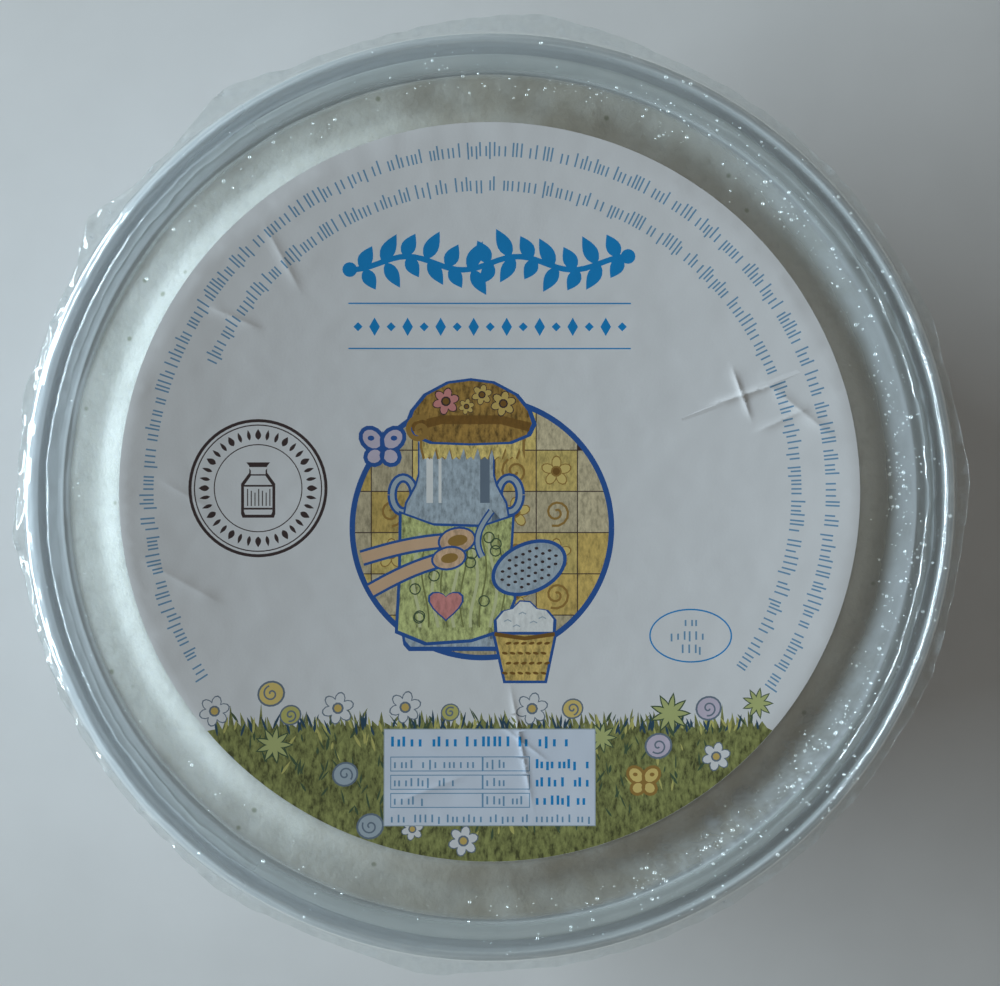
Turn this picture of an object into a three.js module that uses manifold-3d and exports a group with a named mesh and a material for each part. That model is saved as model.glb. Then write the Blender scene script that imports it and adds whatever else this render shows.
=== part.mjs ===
// A sealed tub of fresh ricotta: a translucent tub with a flange, a slotted draining basket hung inside it,
// the cheese in the basket, a clear lidding film welded to the flange, and a round label stuck on the film.
// Millimetres, +Z up. The origin is on the tub's axis, in the plane that its foot stands on.
import * as THREE from "three";
import { mergeVertices } from "three/addons/utils/BufferGeometryUtils.js";
import Module from "manifold-3d";

const SIDES = 60; // facets around the axis, the same on every piece, so that nested walls stay apart
const DEGREE = Math.PI / 180;
const GAP = 0.15; // clearance left between stacked sheets
const DISH_RING = 25; // radius of the ring of points that shapes the dished middle of cheese, film and label

const TUB = {
  height: 70,
  flangeRadius: 63,
  flangeInnerRadius: 60.9,
  wall: 0.7,
  edgeChamfer: 0.3,
  skirtDepth: 3.4, // how far the flange's outer lip turns down
  ledgeDepth: 1.5, // from the flange down to the ledge that carries the basket's rim
  ledgeRadius: 59.2,
  shoulderDrop: 9, // from the ledge down to the stacking shoulder
  shoulderInset: 0.8,
  footRadius: 51.6,
  footRound: 2.4,
  footWidth: 3,
  baseHollow: 1.6, // the middle of the base is raised by this much
  floor: 0.9,
};

const BASKET = {
  rimRadius: 60.2,
  rimThickness: 0.7,
  wall: 0.8,
  innerTopRadius: 57.6,
  innerBottomRadius: 46.6,
  floorRound: 3,
  floor: 0.9,
  depth: 57.4, // from the rim's top down to the floor inside
  slotColumns: 30,
  slotRows: 3,
  slotWidth: 2.2,
  slotHeight: 11,
  slotPitch: 15.5,
  lowestSlot: 13, // centre of the bottom row above the floor inside
};

// The cheese's top is a shallow dish out to its shoulder, and slopes down to a flat edge at the basket's wall.
const CHEESE = {
  sideGap: 0.3,
  centreBelowFlange: 1.4,
  shoulderAboveFlange: 0.4,
  shoulderRadius: 49.5,
  slopeRadius: 53.9,
  edgeBelowFlange: 1.3,
};

const FILM = {
  thickness: 0.3,
  climb: 0.5, // width of the steep stretch from the cheese up to the basket's rim
  overhang: 1.1, // how far the trimmed edge stands past the flange, on average
  // Corners left by the hand-pulled trim: [direction in degrees from +X, reach past the mean edge, width].
  corners: [
    [2, 0.9, 10],
    [23, 0.5, 6],
    [84, 1.6, 16],
    [123, 2.1, 8],
    [145, 2.4, 6],
    [168, 0.7, 5],
    [184, 0.9, 6],
    [236, 0.6, 8],
    [262, 1.1, 9],
    [338, 0.4, 8],
  ],
};

const LABEL = {
  radius: 50,
  thickness: 0.2,
  centreY: 0.7, // the label sits a little off the tub's axis
};

const floorTop = TUB.baseHollow + TUB.floor;
const ledgeTop = TUB.height - TUB.ledgeDepth;
const rimTop = ledgeTop + 2 * GAP + BASKET.rimThickness;
const basketFloorTop = rimTop - BASKET.depth;

const at = (radius, height) => new THREE.Vector2(radius, height);

// Points of an arc in the profile plane. Angles are in degrees: 0 points away from the axis, 90 points up.
function arc(radius, height, bend, from, to, steps) {
  return Array.from({ length: steps + 1 }, (_, i) => {
    const angle = (from + ((to - from) * i) / steps) * DEGREE;
    return at(radius + bend * Math.cos(angle), height + bend * Math.sin(angle));
  });
}

// A profile of radius and height turned about +Z.
function turned(profile) {
  const geometry = new THREE.LatheGeometry(profile, SIDES);
  geometry.rotateX(Math.PI / 2);
  return geometry;
}

// Height of the cheese's top surface at a distance from the axis.
function cheeseTop(radius) {
  const centre = TUB.height - CHEESE.centreBelowFlange;
  const shoulder = TUB.height + CHEESE.shoulderAboveFlange;
  const edge = TUB.height - CHEESE.edgeBelowFlange;
  if (radius <= CHEESE.shoulderRadius) {
    return centre + (shoulder - centre) * (radius / CHEESE.shoulderRadius) ** 2;
  }
  const along = (radius - CHEESE.shoulderRadius) / (CHEESE.slopeRadius - CHEESE.shoulderRadius);
  return shoulder + (edge - shoulder) * Math.min(along, 1);
}

function tubGeometry() {
  const t = TUB.wall;
  const shoulderZ = ledgeTop - TUB.shoulderDrop;
  const wallTop = TUB.ledgeRadius + t;
  const wallLow = wallTop - TUB.shoulderInset;
  const flangeUnder = TUB.height - t;
  const foot = TUB.footRadius - TUB.footRound;
  return turned([
    at(0, TUB.baseHollow),
    at(foot - TUB.footWidth - TUB.baseHollow, TUB.baseHollow),
    at(foot - TUB.footWidth, 0),
    ...arc(foot, TUB.footRound, TUB.footRound, -90, -8, 3),
    at(wallLow, shoulderZ - t),
    at(wallTop, shoulderZ),
    at(wallTop, ledgeTop - t),
    at(TUB.flangeInnerRadius + t, ledgeTop - t),
    at(TUB.flangeInnerRadius + t, flangeUnder),
    at(TUB.flangeRadius - t, flangeUnder),
    at(TUB.flangeRadius - t, TUB.height - TUB.skirtDepth),
    at(TUB.flangeRadius, TUB.height - TUB.skirtDepth),
    at(TUB.flangeRadius, TUB.height - TUB.edgeChamfer),
    at(TUB.flangeRadius - TUB.edgeChamfer, TUB.height),
    at(TUB.flangeInnerRadius, TUB.height),
    at(TUB.flangeInnerRadius - t / 2, ledgeTop),
    at(TUB.ledgeRadius, ledgeTop),
    at(TUB.ledgeRadius, shoulderZ),
    at(TUB.ledgeRadius - TUB.shoulderInset, shoulderZ - t),
    ...arc(foot, floorTop + TUB.footRound - t, TUB.footRound - t, -8, -90, 2),
    at(0, floorTop),
  ]);
}

// A closed geometry as a manifold solid, and back.
function solidOf(wasm, geometry) {
  const bare = geometry.clone();
  bare.deleteAttribute("normal");
  bare.deleteAttribute("uv");
  const merged = mergeVertices(bare);
  return new wasm.Manifold(
    new wasm.Mesh({
      numProp: 3,
      vertProperties: new Float32Array(merged.attributes.position.array),
      triVerts: new Uint32Array(merged.index.array),
    }),
  );
}

function geometryOf(solid) {
  const mesh = solid.getMesh();
  return new THREE.BufferGeometry()
    .setAttribute("position", new THREE.BufferAttribute(new Float32Array(mesh.vertProperties), 3))
    .setIndex(new THREE.BufferAttribute(new Uint32Array(mesh.triVerts), 1));
}

// The draining slots stand in columns, each in the middle of a facet of the basket's wall.
function basketGeometry(wasm) {
  const t = BASKET.wall;
  const floorUnder = basketFloorTop - BASKET.floor;
  const rimUnder = rimTop - BASKET.rimThickness;
  const low = BASKET.innerBottomRadius;
  const round = BASKET.floorRound;
  let basket = solidOf(
    wasm,
    turned([
      at(0, floorUnder),
      ...arc(low + t - round, floorUnder + round, round, -90, -10, 3),
      at(BASKET.innerTopRadius + t, rimUnder),
      at(BASKET.rimRadius, rimUnder),
      at(BASKET.rimRadius, rimTop),
      at(BASKET.innerTopRadius, rimTop),
      ...arc(low - round + t, basketFloorTop + round - t, round - t, -10, -90, 2),
      at(0, basketFloorTop),
    ]),
  );
  const facet = 360 / SIDES;
  const reach = BASKET.rimRadius - BASKET.innerBottomRadius + 2 * round;
  for (let column = 0; column < BASKET.slotColumns; column++) {
    for (let row = 0; row < BASKET.slotRows; row++) {
      const slot = new THREE.BoxGeometry(reach, BASKET.slotWidth, BASKET.slotHeight);
      const slotZ = basketFloorTop + BASKET.lowestSlot + row * BASKET.slotPitch;
      slot.translate(BASKET.innerTopRadius, 0, slotZ);
      slot.rotateZ(((column * 360) / BASKET.slotColumns + facet / 2) * DEGREE);
      basket = basket.subtract(solidOf(wasm, slot));
    }
  }
  return geometryOf(basket);
}

function cheeseGeometry() {
  const g = CHEESE.sideGap;
  const round = BASKET.floorRound;
  const bottom = basketFloorTop + g;
  const low = BASKET.innerBottomRadius - g;
  const edge = BASKET.innerTopRadius - g;
  const topRings = [edge, CHEESE.slopeRadius, CHEESE.shoulderRadius, DISH_RING, 0];
  return turned([
    at(0, bottom),
    ...arc(low - round, bottom + round, round, -90, -10, 3),
    ...topRings.map((radius) => at(radius, cheeseTop(radius))),
  ]);
}

// A closed sheet on rings around its centre: ringRadius gives a ring's radius in a direction, in radians, and
// underside the height of the sheet's lower face at a place measured from the centre.
function sheet(rings, ringRadius, centreY, underside, thickness) {
  const positions = [];
  const index = [];
  const add = (x, y) => {
    const z = underside(x, y);
    positions.push(x, y + centreY, z, x, y + centreY, z + thickness);
    return positions.length / 3 - 2;
  };
  const centre = add(0, 0);
  const ringStart = rings.map((ring) => {
    const start = positions.length / 3;
    for (let side = 0; side < SIDES; side++) {
      const angle = (side / SIDES) * 2 * Math.PI;
      const radius = ringRadius(ring, angle);
      add(radius * Math.cos(angle), radius * Math.sin(angle));
    }
    return start;
  });
  for (let side = 0; side < SIDES; side++) {
    const here = 2 * side;
    const next = 2 * ((side + 1) % SIDES);
    const [first] = ringStart;
    index.push(centre, first + next, first + here);
    index.push(centre + 1, first + here + 1, first + next + 1);
    for (let ring = 1; ring < rings.length; ring++) {
      const inner = ringStart[ring - 1];
      const outer = ringStart[ring];
      index.push(inner + here, inner + next, outer + here);
      index.push(inner + next, outer + next, outer + here);
      index.push(inner + here + 1, outer + here + 1, inner + next + 1);
      index.push(inner + next + 1, outer + here + 1, outer + next + 1);
    }
    const edge = ringStart[rings.length - 1];
    index.push(edge + here, edge + next, edge + here + 1);
    index.push(edge + next, edge + next + 1, edge + here + 1);
  }
  return new THREE.BufferGeometry()
    .setAttribute("position", new THREE.BufferAttribute(new Float32Array(positions), 3))
    .setIndex(index);
}

// How far the film's trimmed edge stands past the flange in a direction given in radians from +X.
function filmReach(angle) {
  return FILM.corners.reduce((reach, [direction, length, width]) => {
    const turn = ((angle / DEGREE - direction + 540) % 360) - 180;
    return reach + length * Math.max(0, 1 - Math.abs(turn) / width);
  }, FILM.overhang);
}

// The film lies on the cheese, climbs the basket's rim and is welded to the flange.
function filmUnderside(x, y) {
  const radius = Math.hypot(x, y);
  if (radius < BASKET.innerTopRadius - FILM.climb) return cheeseTop(radius) + GAP;
  if (radius < BASKET.rimRadius + GAP) return rimTop + GAP;
  return TUB.height + GAP;
}

function filmGeometry() {
  const climbEnd = BASKET.innerTopRadius - GAP / 2;
  const onCheese = [DISH_RING, CHEESE.shoulderRadius, CHEESE.slopeRadius, climbEnd - FILM.climb];
  const onRims = [climbEnd, BASKET.rimRadius, TUB.flangeInnerRadius - GAP, TUB.flangeRadius];
  const trimmedEdge = Infinity;
  const ringRadius = (ring, angle) =>
    ring === trimmedEdge ? TUB.flangeRadius + filmReach(angle) : ring;
  return sheet([...onCheese, ...onRims, trimmedEdge], ringRadius, 0, filmUnderside, FILM.thickness);
}

// The label follows the dished film, and stays level where it reaches past the shoulder.
function labelGeometry() {
  const underside = (x, y) => {
    const radius = Math.min(Math.hypot(x, y + LABEL.centreY), CHEESE.shoulderRadius);
    return cheeseTop(radius) + 2 * GAP + FILM.thickness;
  };
  return sheet([DISH_RING, LABEL.radius], (ring) => ring, LABEL.centreY, underside, LABEL.thickness);
}

const LOOKS = {
  tub: { color: 0xb4c4cc, roughness: 0.35, metalness: 0, transparent: true, opacity: 0.6 },
  basket: { color: 0xc8d0d2, roughness: 0.45, metalness: 0 },
  ricotta: { color: 0xece9de, roughness: 0.5, metalness: 0 },
  film: { color: 0xe6eef2, roughness: 0.1, metalness: 0, transparent: true, opacity: 0.2 },
  label: { color: 0xdfe3e6, roughness: 0.55, metalness: 0 },
};

function piece(name, geometry) {
  const mesh = new THREE.Mesh(geometry, new THREE.MeshStandardMaterial(LOOKS[name]));
  mesh.name = name;
  return mesh;
}

const wasm = await Module();
wasm.setup();

const pack = new THREE.Group();
pack.add(
  piece("tub", tubGeometry()),
  piece("basket", basketGeometry(wasm)),
  piece("ricotta", cheeseGeometry()),
  piece("film", filmGeometry()),
  piece("label", labelGeometry()),
);

export default pack;
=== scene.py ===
import random
from math import atan2, cos, degrees, exp, hypot, pi, radians, sin, sqrt, tan

import bmesh
import bpy
from mathutils import Matrix, Vector, geometry, noise


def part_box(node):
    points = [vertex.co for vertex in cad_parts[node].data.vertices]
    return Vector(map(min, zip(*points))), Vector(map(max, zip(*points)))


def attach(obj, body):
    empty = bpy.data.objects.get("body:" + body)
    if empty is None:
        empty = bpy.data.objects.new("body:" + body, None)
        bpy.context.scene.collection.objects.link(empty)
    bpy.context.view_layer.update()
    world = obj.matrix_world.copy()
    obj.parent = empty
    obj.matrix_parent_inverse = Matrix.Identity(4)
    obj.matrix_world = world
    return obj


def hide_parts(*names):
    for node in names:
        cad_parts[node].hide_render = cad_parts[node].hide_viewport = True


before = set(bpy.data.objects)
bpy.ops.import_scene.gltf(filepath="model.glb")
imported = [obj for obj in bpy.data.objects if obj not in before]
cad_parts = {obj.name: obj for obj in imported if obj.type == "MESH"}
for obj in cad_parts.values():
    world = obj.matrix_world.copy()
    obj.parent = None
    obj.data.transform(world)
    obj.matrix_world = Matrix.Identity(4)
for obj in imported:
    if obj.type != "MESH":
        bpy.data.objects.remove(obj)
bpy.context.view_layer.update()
scene = bpy.context.scene

# --------------------------------------------------
# Camera. The pack stands on the table and is looked at from straight above, a little right of its middle.
# --------------------------------------------------
MM = 0.001
FLANGE_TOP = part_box("tub")[1].z
FLANGE_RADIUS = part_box("tub")[1].x
CAMERA_ABOVE_FLANGE = 400 * MM
CAMERA_ASIDE = (1.35 * MM, 0.55 * MM)
CAMERA_NEAREST = 10 * MM
FLANGE_SHARE = 0.93  # of the picture's width
SENSOR_WIDTH = 36.0

camera = bpy.data.objects.new("camera", bpy.data.cameras.new("camera"))
scene.collection.objects.link(camera)
camera.data.sensor_width = SENSOR_WIDTH
camera.data.lens = SENSOR_WIDTH * FLANGE_SHARE * CAMERA_ABOVE_FLANGE / (2 * FLANGE_RADIUS)
camera.data.clip_start = CAMERA_NEAREST
camera.location = (*CAMERA_ASIDE, FLANGE_TOP + CAMERA_ABOVE_FLANGE)
scene.camera = camera

# --------------------------------------------------
# Floor and light. A round pale studio floor, a wide cool window low on the left, and a warm grey fill that
# is brighter near the horizon.
# --------------------------------------------------
FLOOR_RADIUS = 1.0
FLOOR_SIDES = 180
FLOOR_Z = -0.02 * MM  # a hair below the foot, so that the two faces don't coincide
FLOOR_PATCH = 20 * MM
FLOOR_GREYS = ((0.3, (0.74, 0.74, 0.73)), (0.7, (0.78, 0.78, 0.77)))
WINDOW_SIZE = (1.1, 0.18)
WINDOW_PLACE = Vector((-0.95, 0.12, 0.355))
WINDOW_POWER = 14.8
WINDOW_COLOUR = (0.765, 0.905, 1.0)
FILL_COLOUR = (1.03, 1.0, 0.93, 1)
FILL_STRENGTHS = (0.85, 0.12)  # at the horizon, and from the dimmed height up
FILL_DIM_HEIGHT = 0.38

scene.view_settings.view_transform = "Standard"
scene.view_settings.look = "None"
scene.view_settings.exposure = 0.0


def mesh_object(name, points, faces):
    mesh = bpy.data.meshes.new(name)
    mesh.from_pydata(points, [], faces)
    mesh.update()
    made = bpy.data.objects.new(name, mesh)
    scene.collection.objects.link(made)
    return made


def all_round(count):
    """Evenly spaced angles, once round."""
    return [2 * pi * i / count for i in range(count)]


class Nodes:
    """A node tree under construction: short names for adding nodes and joining them."""

    def __init__(self, tree):
        self.tree = tree

    def join(self, value, socket):
        if isinstance(value, bpy.types.NodeSocket):
            self.tree.links.new(value, socket)
        else:
            socket.default_value = value

    def add(self, kind, settings=None, **inputs):
        node = self.tree.nodes.new(kind)
        for name, value in (settings or {}).items():
            setattr(node, name, value)
        for name, value in inputs.items():
            self.join(value, node.inputs[name.replace("_", " ")])
        return node

    def math(self, operation, *values):
        node = self.add("ShaderNodeMath", {"operation": operation})
        for socket, value in zip(node.inputs, values):
            self.join(value, socket)
        return node.outputs[0]


class Finish(Nodes):
    """A material under construction, with its patterns placed by Object coordinates."""

    def __init__(self, name):
        self.material = bpy.data.materials.new(name)
        self.material.use_nodes = True
        super().__init__(self.material.node_tree)
        self.tree.nodes.clear()
        self.output = self.add("ShaderNodeOutputMaterial")
        self.place = self.add("ShaderNodeTexCoord").outputs["Object"]

    def noise(self, size, detail=3.0, where=None, roughness=0.5):
        """Cloudy values of about 0 to 1, with blotches of the given size in metres."""
        inputs = {"Vector": where or self.place, "Scale": 1 / size, "Detail": detail, "Roughness": roughness}
        return self.add("ShaderNodeTexNoise", **inputs).outputs["Fac"]

    def attribute(self, name, output="Fac"):
        return self.add("ShaderNodeAttribute", {"attribute_name": name}).outputs[output]

    def ramp(self, value, *stops):
        """Colours or greys placed along the value's range."""
        node = self.add("ShaderNodeValToRGB", Fac=value)
        while len(node.color_ramp.elements) < len(stops):
            node.color_ramp.elements.new(0.5)
        for element, (position, colour) in zip(node.color_ramp.elements, stops):
            element.position = position
            element.color = (*colour, 1) if isinstance(colour, tuple) else (colour, colour, colour, 1)
        return node.outputs["Color"]

    def mix(self, share, first, second, way="MIX"):
        """Two colours mixed; with MULTIPLY, the first tinted by the second."""
        node = self.add("ShaderNodeMix", {"data_type": "RGBA", "blend_type": way})
        for value, socket in ((share, 0), (first, 6), (second, 7)):
            self.join((*value, 1) if isinstance(value, tuple) else value, node.inputs[socket])
        return node.outputs[2]

    def bump(self, height, depth):
        return self.add("ShaderNodeBump", Height=height, Distance=depth, Strength=1.0).outputs[0]

    def shader(self, kind, **inputs):
        return self.add("ShaderNodeBsdf" + kind, **inputs).outputs[0]

    def blend(self, share, first, second):
        """Two shaders: only the first at a share of 0, only the second at 1."""
        node = self.add("ShaderNodeMixShader", Fac=share)
        self.join(first, node.inputs[1])
        self.join(second, node.inputs[2])
        return node.outputs[0]

    def done(self, shader):
        self.join(shader, self.output.inputs["Surface"])
        return self.material


floor_turns = all_round(FLOOR_SIDES)
floor_edge = [(FLOOR_RADIUS * cos(a), FLOOR_RADIUS * sin(a), FLOOR_Z) for a in floor_turns]
floor = mesh_object("floor", floor_edge, [tuple(range(FLOOR_SIDES))])
floor_paint = Finish("pale floor")
floor_colour = floor_paint.ramp(floor_paint.noise(FLOOR_PATCH), *FLOOR_GREYS)
floor.data.materials.append(floor_paint.done(floor_paint.shader("Diffuse", Color=floor_colour)))

window = bpy.data.objects.new("window", bpy.data.lights.new("window", "AREA"))
window.data.shape = "RECTANGLE"
window.data.size, window.data.size_y = WINDOW_SIZE
window.data.energy = WINDOW_POWER
window.data.color = WINDOW_COLOUR
window.location = WINDOW_PLACE
window.rotation_mode = "QUATERNION"
window.rotation_quaternion = (Vector((0, 0, FLANGE_TOP)) - WINDOW_PLACE).to_track_quat("-Z", "Y")
scene.collection.objects.link(window)

scene.world = bpy.data.worlds.new("fill")
scene.world.use_nodes = True
sky = Nodes(scene.world.node_tree)
direction = sky.add("ShaderNodeTexCoord").outputs["Generated"]
height = sky.add("ShaderNodeSeparateXYZ", Vector=direction).outputs["Z"]
strength = sky.add(
    "ShaderNodeMapRange", {"interpolation_type": "SMOOTHSTEP"}, Value=height,
    From_Min=0.0, From_Max=FILL_DIM_HEIGHT, To_Min=FILL_STRENGTHS[0], To_Max=FILL_STRENGTHS[1],
).outputs[0]
backdrop = sky.tree.nodes["Background"]
sky.join(FILL_COLOUR, backdrop.inputs["Color"])
sky.join(strength, backdrop.inputs["Strength"])

# --------------------------------------------------
# Tub. Injection-moulded in natural polypropylene: a milky, slightly springy wall with a turned-down flange,
# a ledge inside it that carries the basket, a stacking shoulder and a ring foot. It is turned about +Z.
# --------------------------------------------------
TUB_SIDES = 192
TUB_WALL = 0.7
TUB_BASE = (1.6, 2.5)  # the raised base's two faces
FOOT_RADIUS = 51.6
LEDGE_TOP = FLANGE_TOP / MM - 1.5
LEDGE_RADIUS = 59.2
SHOULDER_Z = LEDGE_TOP - 9
SHOULDER_INSET = 0.8
FLANGE_FALL = 0.6  # how much lower the flange's outer edge is than its inner one
FLANGE_SKIRT = 3.4
RAIL_RADIUS = 50 * MM  # of the circle that carries a turned piece's profile


def rounded(corners, steps=4):
    """A profile of (radius, height) points in mm from corners (radius, height, rounding)."""
    places = [Vector(corner[:2]) for corner in corners]
    profile = []
    for i, (here, corner) in enumerate(zip(places, corners)):
        if corner[2] == 0 or i in (0, len(corners) - 1):
            profile.append(here)
            continue
        start = here + (places[i - 1] - here).normalized() * corner[2]
        end = here + (places[i + 1] - here).normalized() * corner[2]
        for step in range(steps + 1):
            t = step / steps
            profile.append(start * (1 - t) ** 2 + here * 2 * t * (1 - t) + end * t**2)
    return [tuple(point) for point in supported(profile)]


def supported(profile, margin=0.25):
    """Adds a point close to each end of the long stretches, so that rounded corners shade crisply."""
    points = [profile[0]]
    for a, b in zip(profile, profile[1:]):
        if (b - a).length > 4 * margin:
            step = (b - a).normalized() * margin
            points += [a + step, b - step]
        points.append(b)
    return points


class Tree(Nodes):
    """A Geometry Nodes tree with named inputs, which ends in Realize Instances and Set Material."""

    def __init__(self, name, **inputs):
        super().__init__(bpy.data.node_groups.new(name, "GeometryNodeTree"))
        sockets = self.tree.interface
        sockets.new_socket("Geometry", in_out="INPUT", socket_type="NodeSocketGeometry")
        sockets.new_socket("Geometry", in_out="OUTPUT", socket_type="NodeSocketGeometry")
        for label, kind in inputs.items():
            sockets.new_socket(label.replace("_", " "), in_out="INPUT", socket_type="NodeSocket" + kind)
        self.given = self.tree.nodes.new("NodeGroupInput").outputs
        self.result = self.tree.nodes.new("NodeGroupOutput").inputs[0]

    def end(self, shape):
        """Finishes the tree: the shape, smooth-shaded, made real and given its material."""
        smooth = self.add("GeometryNodeSetShadeSmooth", Geometry=shape).outputs[0]
        real = self.add("GeometryNodeRealizeInstances", Geometry=smooth).outputs[0]
        painted = self.add("GeometryNodeSetMaterial", Geometry=real, Material=self.given["Material"])
        self.join(painted.outputs[0], self.result)
        return self.tree


def made_by(tree, name, start, **settings):
    """The plain mesh object that a tree makes out of the start object's mesh, which is used up."""
    start.data.materials.append(settings["Material"])
    modifier = start.modifiers.new("maker", "NODES")
    modifier.node_group = tree
    for item in tree.interface.items_tree:
        key = item.name.replace(" ", "_")
        if item.in_out == "INPUT" and key in settings:
            modifier[item.identifier] = settings[key]
    shown = start.evaluated_get(bpy.context.evaluated_depsgraph_get())
    mesh = bpy.data.meshes.new_from_object(shown)
    mesh.name = name
    made = bpy.data.objects.new(name, mesh)
    scene.collection.objects.link(made)
    bpy.data.objects.remove(start)
    return made


def turning_tree():
    """Carries an open profile, drawn from the rail outwards, round the rail and closes its poles."""
    t = Tree("turned about the axis", Material="Material", Rail_radius="Float", Sides="Int")
    profile = t.add("GeometryNodeMeshToCurve", Mesh=t.given["Geometry"]).outputs[0]
    size = {"Resolution": t.given["Sides"], "Radius": t.given["Rail radius"]}
    rail = t.add("GeometryNodeCurvePrimitiveCircle", **size).outputs[0]
    shell = t.add("GeometryNodeCurveToMesh", Curve=rail, Profile_Curve=profile).outputs[0]
    return t.end(t.add("GeometryNodeMergeByDistance", Geometry=shell, Distance=0.002 * MM).outputs[0])


TURNING = turning_tree()


def turned(name, profile, sides, material):
    """A shell of revolution through (radius, height) points in mm, with its faces pointing outwards."""
    points = [(r * MM - RAIL_RADIUS, -z * MM, 0) for r, z in profile[::-1]]
    start = mesh_object(name + " profile", points, [])
    start.data.edges.add(len(points) - 1)
    for i, edge in enumerate(start.data.edges):
        edge.vertices = (i, i + 1)
    return made_by(TURNING, name, start, Material=material, Rail_radius=RAIL_RADIUS, Sides=sides)


def moulded_plastic(name, patch, shades, roughness, grain, relief, milk, clearness, clear):
    """Thin polypropylene: part of the light goes straight through and part is scattered in the wall."""
    m = Finish(name)
    colour = m.ramp(m.noise(patch, detail=4), (0.3, shades[0]), (0.7, shades[1]))
    uneven = m.bump(m.noise(grain, detail=2), relief)
    body = m.shader(
        "Principled", Base_Color=colour, Roughness=roughness, Normal=uneven,
        Subsurface_Weight=0.3, Subsurface_Scale=0.5 * MM, Subsurface_Radius=(1.0, 1.0, 1.0),
    )
    milky = m.blend(milk, body, m.shader("Translucent", Color=colour))
    return m.done(m.blend(clearness, milky, m.shader("Transparent", Color=(*clear, 1))))


def tub_profile():
    """The tub's section, from the middle of its underside out, up and back in, in mm."""
    t = TUB_WALL
    top = FLANGE_TOP / MM
    rim = FLANGE_RADIUS / MM
    wall = LEDGE_RADIUS + t
    outside = [
        (0, TUB_BASE[0], 0),
        (44.6, TUB_BASE[0], 0.7),
        (46.2, 0, 0.5),
        (FOOT_RADIUS - 0.3, 0, 2.4),
        (wall - SHOULDER_INSET, SHOULDER_Z - t, 0.4),
        (wall, SHOULDER_Z, 0.4),
        (wall, LEDGE_TOP - t, 0.3),
    ]
    flange = [
        (rim - t, LEDGE_TOP - t, 0.3),
        (rim - t, top - FLANGE_SKIRT, 0.2),
        (rim, top - FLANGE_SKIRT, 0.25),
        (rim, top - FLANGE_FALL, 0.5),
        (61.85, top, 0.35),
        (61.2, LEDGE_TOP, 0.25),
    ]
    inside = [
        (LEDGE_RADIUS, LEDGE_TOP, 0.3),
        (LEDGE_RADIUS, SHOULDER_Z, 0.4),
        (LEDGE_RADIUS - SHOULDER_INSET, SHOULDER_Z - t, 0.4),
        (FOOT_RADIUS - t, TUB_BASE[1], 1.8),
        (0, TUB_BASE[1], 0),
    ]
    return rounded(outside + flange + inside)


tub_finish = moulded_plastic(
    "natural polypropylene", patch=9 * MM, shades=((0.75, 0.785, 0.82), (0.81, 0.845, 0.875)),
    roughness=0.30, grain=0.7 * MM, relief=0.02 * MM,
    milk=0.34, clearness=0.24, clear=(0.96, 0.975, 0.98),
)
tub = turned("tub_shell", tub_profile(), TUB_SIDES, tub_finish)
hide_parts("tub")
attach(tub, "root")

# --------------------------------------------------
# Basket. A thinner moulded basket with three rows of draining slots, hung by its rim on the tub's ledge.
# One tile of wall with its slot is repeated round and up and wrapped on the cone; floor and rim are turned.
# --------------------------------------------------
BASKET_SIDES = 180
SLOT_TURN = radians(-3)
SLOT_COLUMNS = 30
SLOT_ROWS = 3
SLOT_WIDTH = 2.2
SLOT_HEIGHT = 11.0
SLOT_PITCH = 15.5
SLOT_END = (0.82, 0.45)  # where the slot's rounded end starts, and how wide it closes
BASKET_WALL = 0.8
BASKET_SKIN = 0.7  # the wall's thickness as moulded
BASKET_RIM_TOP = LEDGE_TOP + 1.0
BASKET_RIM_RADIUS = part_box("basket")[1].x / MM
BASKET_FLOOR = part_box("basket")[0].z / MM
BASKET_INNER_TOP = 57.6
BASKET_INNER_BOTTOM = 46.6
SLOTS_START = BASKET_FLOOR + 6.5
SLOTS_END = SLOTS_START + SLOT_ROWS * SLOT_PITCH
UNDER_RIM = BASKET_RIM_TOP - 0.7


def basket_radius(z):
    """The outer wall's radius at a height, both in mm."""
    low = BASKET_FLOOR + 3
    share = (z - low) / (UNDER_RIM - low)
    return BASKET_WALL + BASKET_INNER_BOTTOM + (BASKET_INNER_TOP - BASKET_INNER_BOTTOM) * share


def slot_tile():
    """One repeat of the wall as a unit square in X and Z: six bands across and six up, less the slot."""
    pitch = 2 * pi * basket_radius(40) / SLOT_COLUMNS
    slot = SLOT_WIDTH / pitch / 2
    tall = SLOT_HEIGHT / SLOT_PITCH / 2
    shoulder, closed = SLOT_END
    across = [0, 0.2, 0.5 - slot, 0.5, 0.5 + slot, 0.8, 1]
    up = [0, 0.5 - tall, 0.5 - tall * shoulder, 0.5, 0.5 + tall * shoulder, 0.5 + tall, 1]
    count = len(across)
    points = [(x, 0, z) for z in up for x in across]
    for i in range(count):
        points[i] = (i / (count - 1), 0, 0)
        points[-count + i] = (i / (count - 1), 0, 1)
    # The ends of the slot are rounded by pulling its corners in.
    for row in (1, 5):
        for column in (2, 4):
            x, y, z = points[row * count + column]
            points[row * count + column] = (0.5 + (x - 0.5) * closed, y, z)
    faces = []
    for row in range(len(up) - 1):
        for column in range(count - 1):
            if row in (1, 2, 3, 4) and column in (2, 3):
                continue
            corner = row * count + column
            faces.append((corner, corner + 1, corner + count + 1, corner + count))
    return mesh_object("slot tile", points, faces)


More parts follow.
